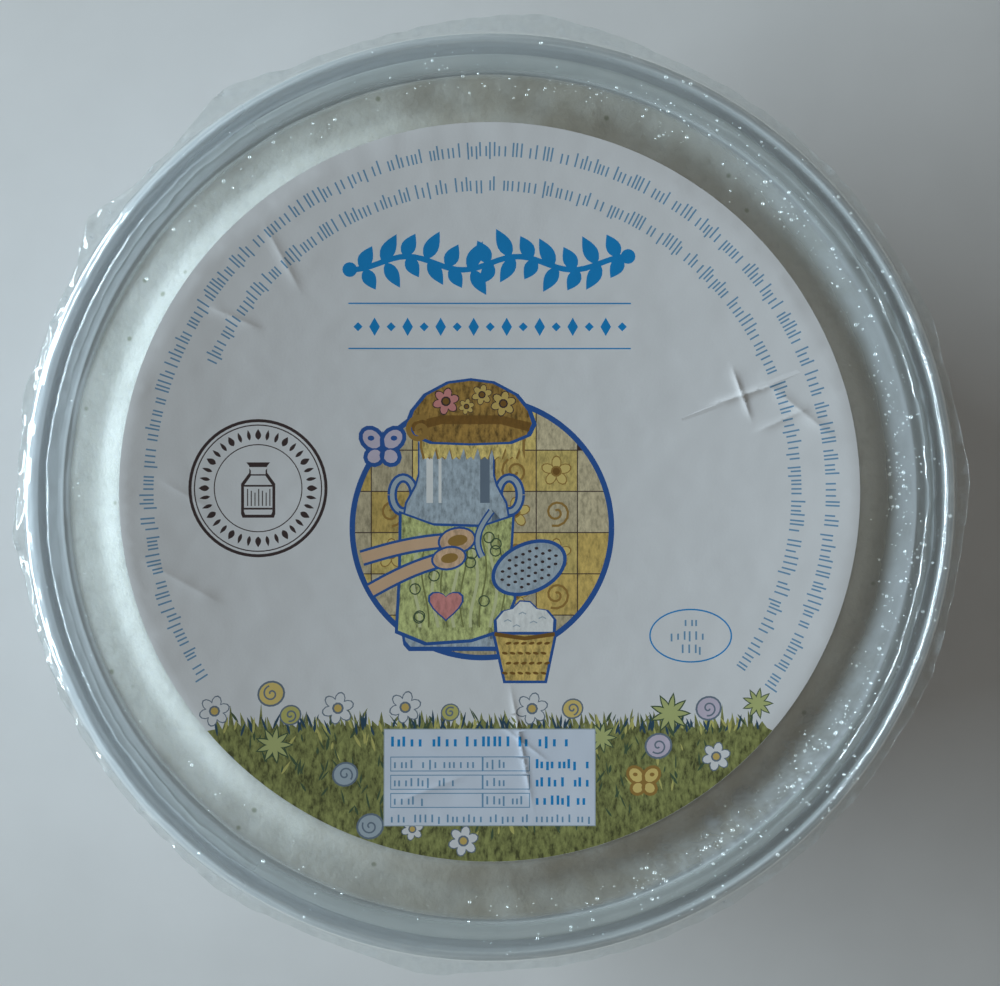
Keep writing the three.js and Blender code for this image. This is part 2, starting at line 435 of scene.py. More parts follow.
def wrapping_tree():
    """Repeats a unit tile in columns and rows and wraps the sheet round the axis as a cone."""
    t = Tree(
        "slotted wall", Material="Material", Columns="Int", Rows="Int",
        Low_radius="Float", High_radius="Float", Low_z="Float", High_z="Float",
    )
    columns, rows = t.given["Columns"], t.given["Rows"]
    one_column = t.math("DIVIDE", 1.0, columns)
    one_row = t.math("DIVIDE", 1.0, rows)
    size = t.add("ShaderNodeCombineXYZ", X=one_column, Y=1.0, Z=one_row).outputs[0]
    row_step = t.add("ShaderNodeCombineXYZ", X=one_column).outputs[0]
    level_step = t.add("ShaderNodeCombineXYZ", Z=one_row).outputs[0]
    line = {"mode": "OFFSET"}
    row = t.add("GeometryNodeMeshLine", line, Count=columns, Offset=row_step).outputs[0]
    levels = t.add("GeometryNodeMeshLine", line, Count=rows, Offset=level_step).outputs[0]
    tile = {"Points": row, "Instance": t.given["Geometry"], "Scale": size}
    tiles = t.add("GeometryNodeInstanceOnPoints", **tile).outputs[0]
    sheet = t.add("GeometryNodeInstanceOnPoints", Points=levels, Instance=tiles).outputs[0]
    flat = t.add("GeometryNodeRealizeInstances", Geometry=sheet).outputs[0]
    place = t.add("ShaderNodeSeparateXYZ", Vector=t.add("GeometryNodeInputPosition").outputs[0]).outputs
    angle = t.math("MULTIPLY", place[0], 2 * pi)

    def between(low, high):
        return t.math("MULTIPLY_ADD", place[2], t.math("SUBTRACT", high, low), low)

    radius = between(t.given["Low radius"], t.given["High radius"])
    x = t.math("MULTIPLY", radius, t.math("COSINE", angle))
    y = t.math("MULTIPLY", radius, t.math("SINE", angle))
    z = between(t.given["Low z"], t.given["High z"])
    round_place = t.add("ShaderNodeCombineXYZ", X=x, Y=y, Z=z).outputs[0]
    cone = t.add("GeometryNodeSetPosition", Geometry=flat, Position=round_place).outputs[0]
    return t.end(t.add("GeometryNodeMergeByDistance", Geometry=cone, Distance=0.01 * MM).outputs[0])


def joined(name, first, *others):
    """Several mesh objects as one, with the vertices that meet merged and the faces made to agree."""
    whole = bmesh.new()
    for part in (first, *others):
        whole.from_mesh(part.data)
    for part in others:
        bpy.data.objects.remove(part)
    bmesh.ops.remove_doubles(whole, verts=whole.verts, dist=0.02 * MM)
    bmesh.ops.recalc_face_normals(whole, faces=whole.faces)
    whole.to_mesh(first.data)
    whole.free()
    first.name = first.data.name = name
    return first


def with_thickness(piece, thickness, levels=0):
    """Gives a shell its wall, outside or above the shell, and where asked, one round of smoothing."""
    wall = piece.modifiers.new("wall", "SOLIDIFY")
    wall.thickness = thickness * MM
    wall.offset = 1
    wall.use_even_offset = True
    if levels:
        smooth = piece.modifiers.new("smooth", "SUBSURF")
        smooth.levels = smooth.render_levels = levels
    shell = piece.data
    piece_now = piece.evaluated_get(bpy.context.evaluated_depsgraph_get())
    piece.data = bpy.data.meshes.new_from_object(piece_now)
    piece.modifiers.clear()
    bpy.data.meshes.remove(shell)
    return piece


def make_basket():
    finish = moulded_plastic(
        "thin white polypropylene", patch=6 * MM, shades=((0.84, 0.88, 0.89), (0.90, 0.93, 0.94)),
        roughness=0.35, grain=0.5 * MM, relief=0.015 * MM,
        milk=0.25, clearness=0.06, clear=(0.95, 0.97, 0.97),
    )
    wall = made_by(
        wrapping_tree(), "basket wall", slot_tile(), Material=finish, Columns=SLOT_COLUMNS, Rows=SLOT_ROWS,
        Low_radius=basket_radius(SLOTS_START) * MM, High_radius=basket_radius(SLOTS_END) * MM,
        Low_z=SLOTS_START * MM, High_z=SLOTS_END * MM,
    )
    low_corner = BASKET_INNER_BOTTOM + BASKET_WALL - 0.5
    wall_foot = (basket_radius(SLOTS_START), SLOTS_START, 0)
    bottom = rounded([(0, BASKET_FLOOR, 0), (low_corner, BASKET_FLOOR, 3), wall_foot])
    wall_top = (basket_radius(SLOTS_END), SLOTS_END, 0)
    neck = (basket_radius(UNDER_RIM), UNDER_RIM, 0.3)
    rim = rounded([wall_top, neck, (BASKET_RIM_RADIUS, UNDER_RIM, 0)])
    bottom_shell = turned("basket floor", bottom, BASKET_SIDES, finish)
    rim_shell = turned("basket rim", rim, BASKET_SIDES, finish)
    basket = joined("draining_basket", wall, bottom_shell, rim_shell)
    basket.data.transform(Matrix.Rotation(SLOT_TURN, 4, "Z"))
    return with_thickness(basket, BASKET_SKIN, levels=1)


basket = make_basket()
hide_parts("basket")
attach(basket, "root")

# --------------------------------------------------
# Ricotta. Fresh curd that has set in the basket: it takes the basket's taper, and under the film its top is
# a shallow dish with a rounded shoulder, a slope and a shallow moat along the basket's wall.
# --------------------------------------------------
CHEESE_SIDES = 360
CHEESE_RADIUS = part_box("ricotta")[1].x / MM
CHEESE_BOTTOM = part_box("ricotta")[0].z / MM
CHEESE_TOP_EDGE = CHEESE_RADIUS - 0.1
CHEESE_WALL = CHEESE_RADIUS + 0.15  # the curd leans on the basket's wall
CHEESE_LOW_RADIUS = BASKET_INNER_BOTTOM - 0.35
CHEESE_TOP_BEVEL = 0.25
CHEESE_BASE_BEVEL = (2.5, 2)  # inwards and up
UNEVEN_RADIUS = 48  # the curd is smooth inside this, under the label, and painted shade lies outside it
SHOULDER_RADIUS = 49.9
SHOULDER_SLOPE = tan(radians(30))
SHOULDER_SOFTNESS = 0.7
DISH_CENTRE_Z = 68.5
DISH_DEPTH = 2.3
DISH_TIP = 0.4  # how much lower the dish's right side lies, and how much higher its left one
DISH_RIGHT_LIFT = 0.6
DISH_LEFT_LIFT = 0.7
MOAT_RADIUS = 52.7
MOAT_SOFTNESS = 0.9
MOAT_SLOPE = tan(radians(1))
MOAT_LEAN = tan(radians(3.5))  # by how much the moat falls more on the left and less on the right
MOAT_LEFT_START = 0.2
MOAT_RIGHT_START = 0.1
CURD_COLOURS = ((0.30, (0.84, 0.855, 0.83)), (0.52, (0.90, 0.91, 0.895)), (0.75, (0.94, 0.95, 0.94)))
# Painted shade: where the window's shadow falls along the wall, the curd is darkened towards this olive
# grey.
PAINTED_SHADE_COLOUR = (0.56, 0.52, 0.45)
PAINTED_SHADE_PLACES = ((82, 1.0), (275, 1.0), (320, 0.55))  # direction in degrees from +X, and share
PAINTED_SHADE_WIDTH = 32
SPECK_PITCH = 4.6 * MM


def cloud(x, y, size, seed=0.0):
    """Smooth unevenness between about -1 and 1, with bumps of the given size in mm."""
    return noise.noise(Vector((x / size, y / size, seed)))


def ramp_up(distance, softness):
    """0 before the start and equal to the distance after it, with a soft bend between."""
    return (distance + hypot(distance, softness)) / 2


def limited(value):
    """The value, kept between 0 and 1."""
    return min(1.0, max(0.0, value))


def bell(value, middle, width):
    """1 at the middle, and falling softly to nothing a width or two away."""
    return exp(-(((value - middle) / width) ** 2))


def to_the_left(x, y):
    """1 at a place straight left of the axis, -1 straight right of it."""
    r = hypot(x, y)
    return -x / r if r else 0.0


def cheese_top(x, y):
    """Height of the curd's upper face at a place, all in mm."""
    r = hypot(x, y)
    inside = min(1.0, SHOULDER_RADIUS / r) if r else 1.0
    u, v = x * inside / SHOULDER_RADIUS, y * inside / SHOULDER_RADIUS
    dish = DISH_CENTRE_Z + DISH_DEPTH * (u * u + v * v)
    dish += DISH_RIGHT_LIFT * max(0.0, u) ** 4 + DISH_LEFT_LIFT * max(0.0, -u) ** 3 - DISH_TIP * u
    left = to_the_left(x, y)
    moat_slope = MOAT_SLOPE + MOAT_LEAN * left
    moat_start = MOAT_RADIUS + MOAT_LEFT_START * max(0.0, left) + MOAT_RIGHT_START * max(0.0, -left) ** 2
    fall = SHOULDER_SLOPE * ramp_up(r - SHOULDER_RADIUS, SHOULDER_SOFTNESS)
    fall -= (SHOULDER_SLOPE - moat_slope) * ramp_up(r - moat_start, MOAT_SOFTNESS)
    uneven = 0.22 * cloud(x, y, 9, 3.0) + 0.07 * cloud(x, y, 3.2, 7.0)
    return dish - fall + limited((r - UNEVEN_RADIUS) / 4) * uneven


def polar_sheet(name, rings, sides, place, closing=None):
    """A round sheet: place(ring, angle) gives each point in mm, and the first ring is a single point.

    With a closing point, the last ring is closed with one face per side round that point.
    """
    points = [Vector(place(rings[0], 0)) * MM]
    for ring in rings[1:]:
        points += [Vector(place(ring, angle)) * MM for angle in all_round(sides)]
    faces = [(0, 1 + side, 1 + (side + 1) % sides) for side in range(sides)]
    for ring in range(len(rings) - 2):
        inner = 1 + ring * sides
        outer = inner + sides
        for side in range(sides):
            after = (side + 1) % sides
            faces.append((inner + side, outer + side, outer + after, inner + after))
    if closing:
        count = len(points)
        last = count - sides
        points.append(Vector(closing) * MM)
        faces += [(last + side, count, last + (side + 1) % sides) for side in range(sides)]
    made = mesh_object(name, points, faces)
    made.data.polygons.foreach_set("use_smooth", [True] * len(faces))
    return made


def share_of_points(piece, name, share, first=0):
    """Stores share(x, y), read in mm at each point from the first on, as the piece's attribute."""
    stored = piece.data.attributes.new(name, "FLOAT", "POINT")
    for vertex, value in zip(piece.data.vertices[first:], stored.data[first:]):
        value.value = share(vertex.co.x / MM, vertex.co.y / MM)


def spread(start, end, count):
    """Evenly spaced values, with both ends."""
    return [start + (end - start) * i / (count - 1) for i in range(count)]


def cheese_finish():
    """Moist ivory curd: light sinks in a few millimetres, painted shade darkens it along the wall at the
    back, front and lower right, and a few specks show.
    """
    m = Finish("fresh curd")
    patches = m.noise(14 * MM, detail=5, roughness=0.6)
    curd = m.noise(1.6 * MM, detail=5, roughness=0.62)
    scattered = m.add("ShaderNodeTexVoronoi", Vector=m.place, Scale=1 / SPECK_PITCH).outputs["Distance"]
    # The attribute called whey holds the share of painted shade.
    colour = m.mix(m.attribute("whey"), m.ramp(patches, *CURD_COLOURS), PAINTED_SHADE_COLOUR)
    colour = m.mix(1.0, colour, m.ramp(curd, (0.30, 0.90), (0.48, 1.0)), "MULTIPLY")
    speck = m.ramp(scattered, (0.045, (0.60, 0.62, 0.54)), (0.10, (1.0, 1.0, 1.0)))
    colour = m.mix(1.0, colour, speck, "MULTIPLY")
    shader = m.shader(
        "Principled", Base_Color=colour, Roughness=0.42, Normal=m.bump(curd, 0.12 * MM),
        Subsurface_Weight=0.35, Subsurface_Scale=2.5 * MM, Subsurface_Radius=(1.0, 0.95, 0.85),
    )
    return m.done(shader)


def painted_shade_share(x, y):
    """How much painted shade lies on the curd, where the window's shadow falls: most of it along the wall,
    at the back and at the front.
    """
    angle = degrees(atan2(y, x))
    side = sum(
        most * bell((angle - middle + 180) % 360 - 180, 0, PAINTED_SHADE_WIDTH) for middle, most in PAINTED_SHADE_PLACES
    )
    by_the_wall = limited((hypot(x, y) - UNEVEN_RADIUS) / 2)
    return min(1.0, side) * by_the_wall * limited(0.85 + 0.5 * cloud(x, y, 4, 15.0))


def cheese_place(ring, angle):
    """A point of the curd: its rings run over the top, down the side and in under the base."""
    part, value = ring
    c, s = cos(angle), sin(angle)
    if part == "top":
        return value * c, value * s, cheese_top(value * c, value * s)
    if part == "base":
        return value * c, value * s, CHEESE_BOTTOM
    top = cheese_top(CHEESE_TOP_EDGE * c, CHEESE_TOP_EDGE * s) - CHEESE_TOP_BEVEL
    z = top + (CHEESE_BOTTOM + CHEESE_BASE_BEVEL[1] - top) * value
    radius = CHEESE_WALL - (CHEESE_WALL - CHEESE_LOW_RADIUS) * value
    radius += 0.1 * cloud(angle * 50 / 2.2, z, 2.2, 11.0)
    return radius * c, radius * s, z


def make_cheese():
    rings = [("top", radius) for radius in (0, *spread(6, 42, 7), *spread(45, CHEESE_TOP_EDGE, 34))]
    rings += [("side", depth) for depth in spread(0.0, 1.0, 48)]
    rings += [("base", radius) for radius in spread(CHEESE_LOW_RADIUS - CHEESE_BASE_BEVEL[0], 5, 6)]
    cheese = polar_sheet("ricotta_curd", rings, CHEESE_SIDES, cheese_place, closing=(0, 0, CHEESE_BOTTOM))
    # The attribute called whey stores the share of painted shade.
    share_of_points(cheese, "whey", painted_shade_share)
    cheese.data.materials.append(cheese_finish())
    return cheese


cheese = make_cheese()
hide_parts("ricotta")
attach(cheese, "root")

# --------------------------------------------------
# Film. A clear lidding film, welded to the flange while warm and trimmed by hand just outside it, so that it
# clings to the wet cheese and rim, stands in a bead at each weld line, and ends in a crinkled free edge.
# --------------------------------------------------
FILM_SIDES = 576
FILM_THICKNESS = 0.08
FILM_CLING = 0.06  # between the film's underside and what it clings to
FILM_OVERHANG = 1.1
FILM_CORNERS = (  # the trim's corners: direction in degrees from +X, reach past the mean edge, width
    (2, 0.9, 10), (23, 0.5, 6), (84, 1.6, 16), (123, 2.1, 8), (145, 2.4, 6),
    (168, 0.7, 5), (184, 0.9, 6), (236, 0.6, 8), (262, 1.1, 9), (338, 0.4, 8),
)
FILM_RIM = (  # (radius, height) over the basket's rim, the groove and the flange
    (57.85, 69.88), (59.05, 69.66), (59.35, 69.92), (59.65, 69.66), (60.0, 69.66), (60.28, 69.84),
    (60.5, 69.66), (60.95, 69.55), (61.4, 69.58), (61.75, 69.80), (61.95, 70.04), (62.2, 70.16),
    (62.45, 69.88), (62.7, 69.76), (62.95, 69.60), (63.1, 69.4),
)
FILM_LEFT_LIFT = (  # how much higher than that it lies on the left
    (57.85, 0.12), (59.05, 0.24), (59.35, -0.02), (59.65, 0.24), (60.0, 0.24), (60.28, 0.07),
    (60.5, 0.0), (60.95, 0.08), (61.15, 0.46), (61.4, 0.42), (61.75, 0.17), (61.95, -0.10),
    (62.2, -0.30), (62.45, -0.15), (62.7, -0.16), (62.95, -0.14), (63.1, -0.06),
)
BEADS = ((59.35, 0.30, 31.0), (60.28, 0.26, 37.0), (62.2, 0.16, 41.0))  # radius, wander and seed of each
BEAD_WIDTH = 0.4
BEADS_LEFT_SHIFT = 0.45  # the beads lie closer to the axis on the left, where the basket is pushed over
FREE_EDGE = 100  # the rings of the free edge are counted from here, and end at this plus one
# The fog's colour, for whey mist and for the painted sheen over the rim on the left.
FOG_COLOUR = (0.86, 0.92, 0.97, 1)


def film_reach(angle):
    """How far the trimmed edge stands past the flange, in mm."""
    heading = degrees(angle)
    reach = FILM_OVERHANG
    for direction, length, width in FILM_CORNERS:
        turn = abs((heading - direction + 540) % 360 - 180)
        reach += length * max(0.0, 1 - turn / width)
    return reach + 0.25 * cloud(50 * cos(angle), 50 * sin(angle), 2.2, 21.0)


def along(profile, x):
    """Linear reading of a list of (x, y) points."""
    for (x0, y0), (x1, y1) in zip(profile, profile[1:]):
        if x <= x1:
            return y0 + (y1 - y0) * max(0.0, x - x0) / (x1 - x0)
    return profile[-1][1]


def film_on_cheese(x, y):
    """Height of the film's underside over the cheese: it clings, and bridges the corner at the wall."""
    r = hypot(x, y)
    left = to_the_left(x, y)
    cling = cheese_top(x, y) + FILM_CLING
    steep = 0.5 - 0.36 * max(0.0, -left)
    rim_radius, rim_height = FILM_RIM[0]
    bridge = rim_height + max(0.0, left) ** 2 * FILM_LEFT_LIFT[0][1] - (rim_radius - r) * steep
    return max(cling, bridge) + 0.15 * exp(-abs(cling - bridge) / 0.35)


def film_on_rim(ring, c, s):
    """A point of the film over the basket's rim, the groove and the flange, with the weld's uneven beads."""
    left = max(0.0, -c)
    even = 1 - 0.6 * left
    z = along(FILM_RIM, ring)
    wander = 0.0
    for bead, sway, seed in BEADS:
        near = bell(ring, bead, BEAD_WIDTH)
        wander += near * sway * (cloud(60 * c, 60 * s, 7, seed) + 0.5 * cloud(60 * c, 60 * s, 1.7, seed + 1))
        z += near * 0.18 * even * cloud(60 * c, 60 * s, 2.4, seed + 2)
        z += near * 0.05 * even * cloud(60 * c, 60 * s, 0.8, seed)
    z += 0.03 * cloud(ring * c, ring * s, 1.3, 51.0)
    z += left**2 * along(FILM_LEFT_LIFT, ring)
    radius = ring + wander - BEADS_LEFT_SHIFT * left**2 * bell(ring, 59.5, 1.1)
    return radius * c, radius * s, z


def film_free_edge(share, c, s, angle):
    """A point of the free edge, a share of its reach out: it droops and crinkles most on the left."""
    left = max(0.0, -c)
    weld, height = FILM_RIM[-1]
    radius = weld + share * film_reach(angle)
    x, y = radius * c, radius * s
    crinkle = 0.7 * cloud(x, y, 2.6, 61.0) + 0.4 * cloud(x, y, 1.1, 71.0)
    crinkle += 0.5 - abs(1.6 * cloud(x, y, 1.7, 65.0))
    crinkle *= 0.45 + 1.5 * left**2
    return x, y, height + (0.15 - 1.2 * left**2) * share + 0.7 * share * crinkle


def film_place(ring, angle):
    """A point of the film's underside on a ring, in mm."""
    c, s = cos(angle), sin(angle)
    if ring <= FILM_RIM[0][0]:
        return ring * c, ring * s, film_on_cheese(ring * c, ring * s)
    if ring <= FILM_RIM[-1][0]:
        return film_on_rim(ring, c, s)
    return film_free_edge(ring - FREE_EDGE, c, s, angle)


def film_finish():
    """Clear, glossy and thin: what isn't mirrored goes straight through, apart from the fog, which is whey
    mist and, over the rim on the left, painted sheen.
    """
    m = Finish("clear lidding film")
    ripple = m.bump(m.noise(2.2 * MM, detail=2), 0.03 * MM)
    clear = m.shader("Transparent", Color=(0.97, 0.985, 0.98, 1))
    gloss = m.shader("Glossy", Color=(1, 1, 1, 1), Roughness=0.07, Normal=ripple)
    fog = m.blend(0.3, m.shader("Diffuse", Color=FOG_COLOUR), m.shader("Translucent", Color=FOG_COLOUR))
    misty = m.blend(m.attribute("haze"), clear, fog)
    facing = m.add("ShaderNodeLayerWeight", Blend=0.5, Normal=ripple).outputs["Facing"]
    mirrored = m.math("MULTIPLY_ADD", m.math("POWER", facing, 5.0), 0.25, 0.045)
    return m.done(m.blend(mirrored, misty, gloss))


def film_haze_and_sheen(x, y):
    """Share of fog: mist on the right and lower right by the basket's rim, and a milky weld and edge; over
    the rim the fog is thickest on the left, toward the window, as painted sheen.
    """
    r = hypot(x, y)
    angle = atan2(y, x)
    left = max(0.0, to_the_left(x, y))
    if r > 63.3:
        return max(0.0, 0.08 + 0.12 * left**3 + 0.3 * cloud(x, y, 1.5, 83.0))
    right = max(0.0, cos(angle - 0.05)) ** 3
    moat = 1.05 * right * bell(r, 55.9, 1.7) * (0.85 + 0.4 * cloud(x, y, 3, 81.0))
    lower_right = bell(degrees(angle), -47, 26) * limited((r - 50.8) / 1.5) * (r < 57.8)
    mottled = max(0.0, 0.2 + 0.4 * cloud(x, y, 2.2, 85.0) + 0.3 * cloud(x, y, 0.7, 86.0))
    smear = 0.6 * bell(x, 30.5, 0.9) * bell(y, -44.2, 0.5)
    seam = 0.3 * bell(r, 57.5, 0.5)
    # Painted sheen: the fog over the rim is thickest on the left, where it stands in for the window's sheen
    # on the film.
    rim_mist_and_sheen = (0.04 + 0.72 * left**2 + 0.3 * right) * limited((r - 56.8) / 0.5)
    groove = 1 - (0.95 - 0.85 * left) * bell(r, 60.95, 0.5)
    return min(0.95, 0.03 + moat + lower_right * mottled + smear + seam + rim_mist_and_sheen * groove)


def make_film():
    under_label = [0, 15, 30, 42, 47]
    on_cheese = spread(49, 57.4, 20)
    climb = spread(57.5, 57.85, 4)
    rim = [58.2, 58.6, 58.9, *spread(59.1, 59.6, 8), 59.8, *spread(60.0, 60.6, 9)]
    groove = [60.75, 60.95, 61.15, 61.4, 61.6]
    flange = [61.75, 61.85, *spread(61.95, 62.45, 8), 62.6, 62.75, 62.95, 63.1]
    free_edge = [FREE_EDGE + share for share in spread(0.1, 1.0, 10)]
    rings = under_label + on_cheese + climb + rim + groove + flange + free_edge
    film = polar_sheet("lidding_film", rings, FILM_SIDES, film_place)
    film.data.materials.append(film_finish())
    with_thickness(film, FILM_THICKNESS)
    # The fog is on the film's outer face, whose points follow those of the inner one.
    share_of_points(film, "haze", film_haze_and_sheen, first=len(film.data.vertices) // 2)
    return film


film = make_film()
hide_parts("film")
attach(film, "root")

# --------------------------------------------------
# Whey. Clear droplets that have gathered on the film, most of them on the lower right and along the rim.
# They are domes of mixed sizes, scattered over a copy of the film's face and set a little into the film.
# --------------------------------------------------
DROPLET_SIZES = (0.07, 0.29)  # the smallest and largest radius
DROPLET_SIDES = 8
DROPLET_STEPS = 3
DROPLET_HEIGHT = 0.62  # for a radius of 1
DROPLET_SINK = 0.01
DROPLETS_PER_MM2 = 2.6
DROPLET_SEED = 5
WET_BAND = (50.5, 62.9)


def dome():
    """A droplet of unit radius, a little flatter than half a ball, with its foot closed."""
    points = [(0, 0, DROPLET_HEIGHT)]
    for step in range(1, DROPLET_STEPS + 1):
        slant = pi / 2 * step / DROPLET_STEPS
        reach, z = sin(slant), DROPLET_HEIGHT * cos(slant)
        points += [(reach * cos(a), reach * sin(a), z) for a in all_round(DROPLET_SIDES)]
    side_pairs = [(i, (i + 1) % DROPLET_SIDES) for i in range(DROPLET_SIDES)]
    faces = [(0, 1 + i, 1 + after) for i, after in side_pairs]
    for step in range(DROPLET_STEPS - 1):
        inner, outer = 1 + step * DROPLET_SIDES, 1 + (step + 1) * DROPLET_SIDES
        faces += [(inner + i, outer + i, outer + after, inner + after) for i, after in side_pairs]
    foot = 1 + (DROPLET_STEPS - 1) * DROPLET_SIDES
    faces.append(tuple(foot + i for i in range(DROPLET_SIDES))[::-1])
    return mesh_object("one droplet", points, faces)


def droplet_tree():
    """Scatters droplets of mixed sizes over a sheet, as thick as its wetness says."""
    t = Tree(
        "scattered droplets", Material="Material", Droplet="Object", Density="Float", Seed="Int",
        Smallest="Float", Largest="Float",
    )
    seed, smallest, largest = (t.given[name] for name in ("Seed", "Smallest", "Largest"))
    wet = t.add("GeometryNodeInputNamedAttribute", {"data_type": "FLOAT"}, Name="wetness")
    density = t.math("MULTIPLY", wet.outputs["Attribute"], t.given["Density"])
    bed = {"Mesh": t.given["Geometry"], "Density": density, "Seed": seed}
    points = t.add("GeometryNodeDistributePointsOnFaces", **bed).outputs["Points"]
    chance = t.math("POWER", t.add("FunctionNodeRandomValue", Seed=seed).outputs[1], 4.0)
    size = t.math("MULTIPLY_ADD", chance, t.math("SUBTRACT", largest, smallest), smallest)
    one = t.add("GeometryNodeObjectInfo", Object=t.given["Droplet"]).outputs["Geometry"]
    return t.end(t.add("GeometryNodeInstanceOnPoints", Points=points, Instance=one, Scale=size).outputs[0])


def droplet_finish():
    """Clear water with a dim shine."""
    m = Finish("clear droplet")
    ripple = m.bump(m.noise(0.3 * MM, detail=1), 0.01 * MM)
    both = m.add("ShaderNodeAddShader")
    m.join(m.shader("Transparent", Color=(0.97, 0.98, 0.98, 1)), both.inputs[0])
    m.join(m.shader("Glossy", Color=(0.34, 0.36, 0.375, 1), Roughness=0.2, Normal=ripple), both.inputs[1])
    return m.done(both.outputs[0])


def wetness(x, y):
    """How thickly the droplets stand: most on the lower right and along the rim, few on the left."""
    r = hypot(x, y)
    if r < 50.6 or r > 62.6:
        return 0.0
    angle = degrees(atan2(y, x))
    side = bell((angle + 25 + 180) % 360 - 180, 0, 50) + 0.35 * bell(angle, 70, 45)
    band = bell(r, 56.2, 2.0) + 0.22 * (r > 58)
    return (0.04 + side) * band * max(0.0, 0.55 + 0.9 * cloud(x, y, 4, 87.0))


def make_droplets():
    sheet = polar_sheet("droplet bed", [0, *spread(*WET_BAND, 40)], 288, film_place)
    share_of_points(sheet, "wetness", wetness)
    one = dome()
    finish = droplet_finish()
    one.data.materials.append(finish)
    smallest, largest = DROPLET_SIZES
    droplets = made_by(
        droplet_tree(), "whey_droplets", sheet, Material=finish, Droplet=one, Seed=DROPLET_SEED,
        Density=DROPLETS_PER_MM2 / MM**2, Smallest=smallest * MM, Largest=largest * MM,
    )
    bpy.data.objects.remove(one)
    for vertex in droplets.data.vertices:
        vertex.co.z += (FILM_THICKNESS - DROPLET_SINK) * MM
    return droplets


droplets = make_droplets()
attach(droplets, "root")

# --------------------------------------------------
# Label. A round of coated white paper stuck on the film, which takes the film's dish and a few creases.
# Its print is flat inks: rules, rings and rows of tick marks in blue, a framed still life of dairy things,
# a meadow along the foot and a pale panel of rows. Each shape is a patch of the paper's own mesh.
# --------------------------------------------------
LABEL_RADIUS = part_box("label")[1].x / MM
LABEL_CENTRE_Y = (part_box("label")[0].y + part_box("label")[1].y) / 2 / MM
LABEL_THICKNESS = 0.1
LABEL_GAP = 0.05
LABEL_RIM_POINTS = 360
LABEL_UNDERSIDE_RINGS = (0.96, 0.75, 0.5, 0.25)  # shares of the radius
LABEL_WAVE_RADIUS = 43  # the paper's edge is a little wavy outside this
LABEL_CREASES = (  # from (x, y) to (x, y), width and height, all in mm
    (30.5, 12.6, 38.5, 15.2, 0.45, 0.30), (33.0, 17.0, 35.2, 11.0, 0.40, 0.22),
    (38.0, 15.0, 46.0, 8.5, 0.7, 0.22), (36.5, 9.0, 42.5, 11.8, 0.5, 0.14),
    (-37.5, 25.5, -31.5, 23.0, 0.6, 0.20), (-30.0, 36.0, -26.0, 28.5, 0.6, 0.12),
    (3.0, -27.0, 5.5, -40.5, 0.35, 0.16), (1.5, -31.0, 7.5, -35.5, 0.35, 0.13),
    (-46.0, -9.0, -37.0, -14.0, 0.8, 0.14), (-44.0, 2.0, -38.0, -1.5, 0.6, 0.08),
    (24.0, -33.5, 33.0, -30.0, 0.7, 0.10), (-12.0, -41.0, -4.0, -38.0, 0.6, 0.10),
)
PAPER_PITCH = 1.15
CREASE_ROWS = (-2.2, -1.2, -0.6, -0.25, 0, 0.25, 0.6, 1.2, 2.2)  # in widths of the crease
INK_BLUE = (0.004, 0.265, 0.64)
INK_SMALL = (0.17, 0.345, 0.53)
INK_NAVY = (0.025, 0.11, 0.38)
INK_BROWN = (0.22, 0.11, 0.02)
INK_EARTH = (0.36, 0.21, 0.05)
INK_OCHRE = (0.66, 0.47, 0.14)
INK_SAND = (0.62, 0.53, 0.34)
INK_STRAW = (0.78, 0.60, 0.20)
INK_WOOD = (0.72, 0.48, 0.30)
INK_CLOTH = (0.50, 0.54, 0.22)
INK_CLOTH_PALE = (0.66, 0.68, 0.38)
INK_GRASS = (0.235, 0.25, 0.085)
INK_GRASS_DARK = (0.07, 0.115, 0.06)
INK_GRASS_SHADE = (0.03, 0.08, 0.13)
INK_GRASS_PALE = (0.56, 0.53, 0.17)
INK_STEEL = (0.42, 0.50, 0.56)
INK_STEEL_DARK = (0.16, 0.21, 0.27)
INK_CURD = (0.86, 0.87, 0.85)
INK_STAMP = (0.055, 0.035, 0.035)
INK_PANEL = (0.72, 0.79, 0.90)
INK_LILAC = (0.62, 0.55, 0.66)
INK_ROSE = (0.70, 0.28, 0.26)
INK_WHITE = (0.79, 0.80, 0.81)
WINGS = ((0.55, 0.45, 0.55, 0.42, 0.8, 14), (0.42, -0.45, 0.38, 0.34, -0.6, 12))  # a butterfly's, per size


def label_height(x, y):
    """Height of the label's upper face at a place measured from the tub's axis, all in mm."""
    r = hypot(x, y)
    inside = min(1.0, SHOULDER_RADIUS * 0.99 / r) if r else 1.0
    z = cheese_top(x * inside, y * inside) + FILM_CLING + FILM_THICKNESS + LABEL_GAP + LABEL_THICKNESS
    for x0, y0, x1, y1, width, height in LABEL_CREASES:
        along_x, along_y = x1 - x0, y1 - y0
        length = hypot(along_x, along_y)
        share = ((x - x0) * along_x + (y - y0) * along_y) / length**2
        if -0.2 < share < 1.2:
            aside = ((x - x0) * along_y - (y - y0) * along_x) / length
            fade = exp(-((abs(share - 0.5) * 2) ** 4))
            z += height * fade * exp(-abs(aside / width) ** 1.3)
    z += 0.035 * cloud(x, y, 5.5, 91.0) + 0.018 * cloud(x, y, 2.2, 93.0)
    edge = max(0.0, (r - LABEL_WAVE_RADIUS) / 7)
    return z + 0.05 * edge * cloud(60 * x / max(r, 1), 60 * y / max(r, 1), 4.0, 95.0)


def at(x, y, outline, scale=1.0):
    """An outline drawn about the origin, moved to a place."""
    return [(x + u * scale, y + v * scale) for u, v in outline]


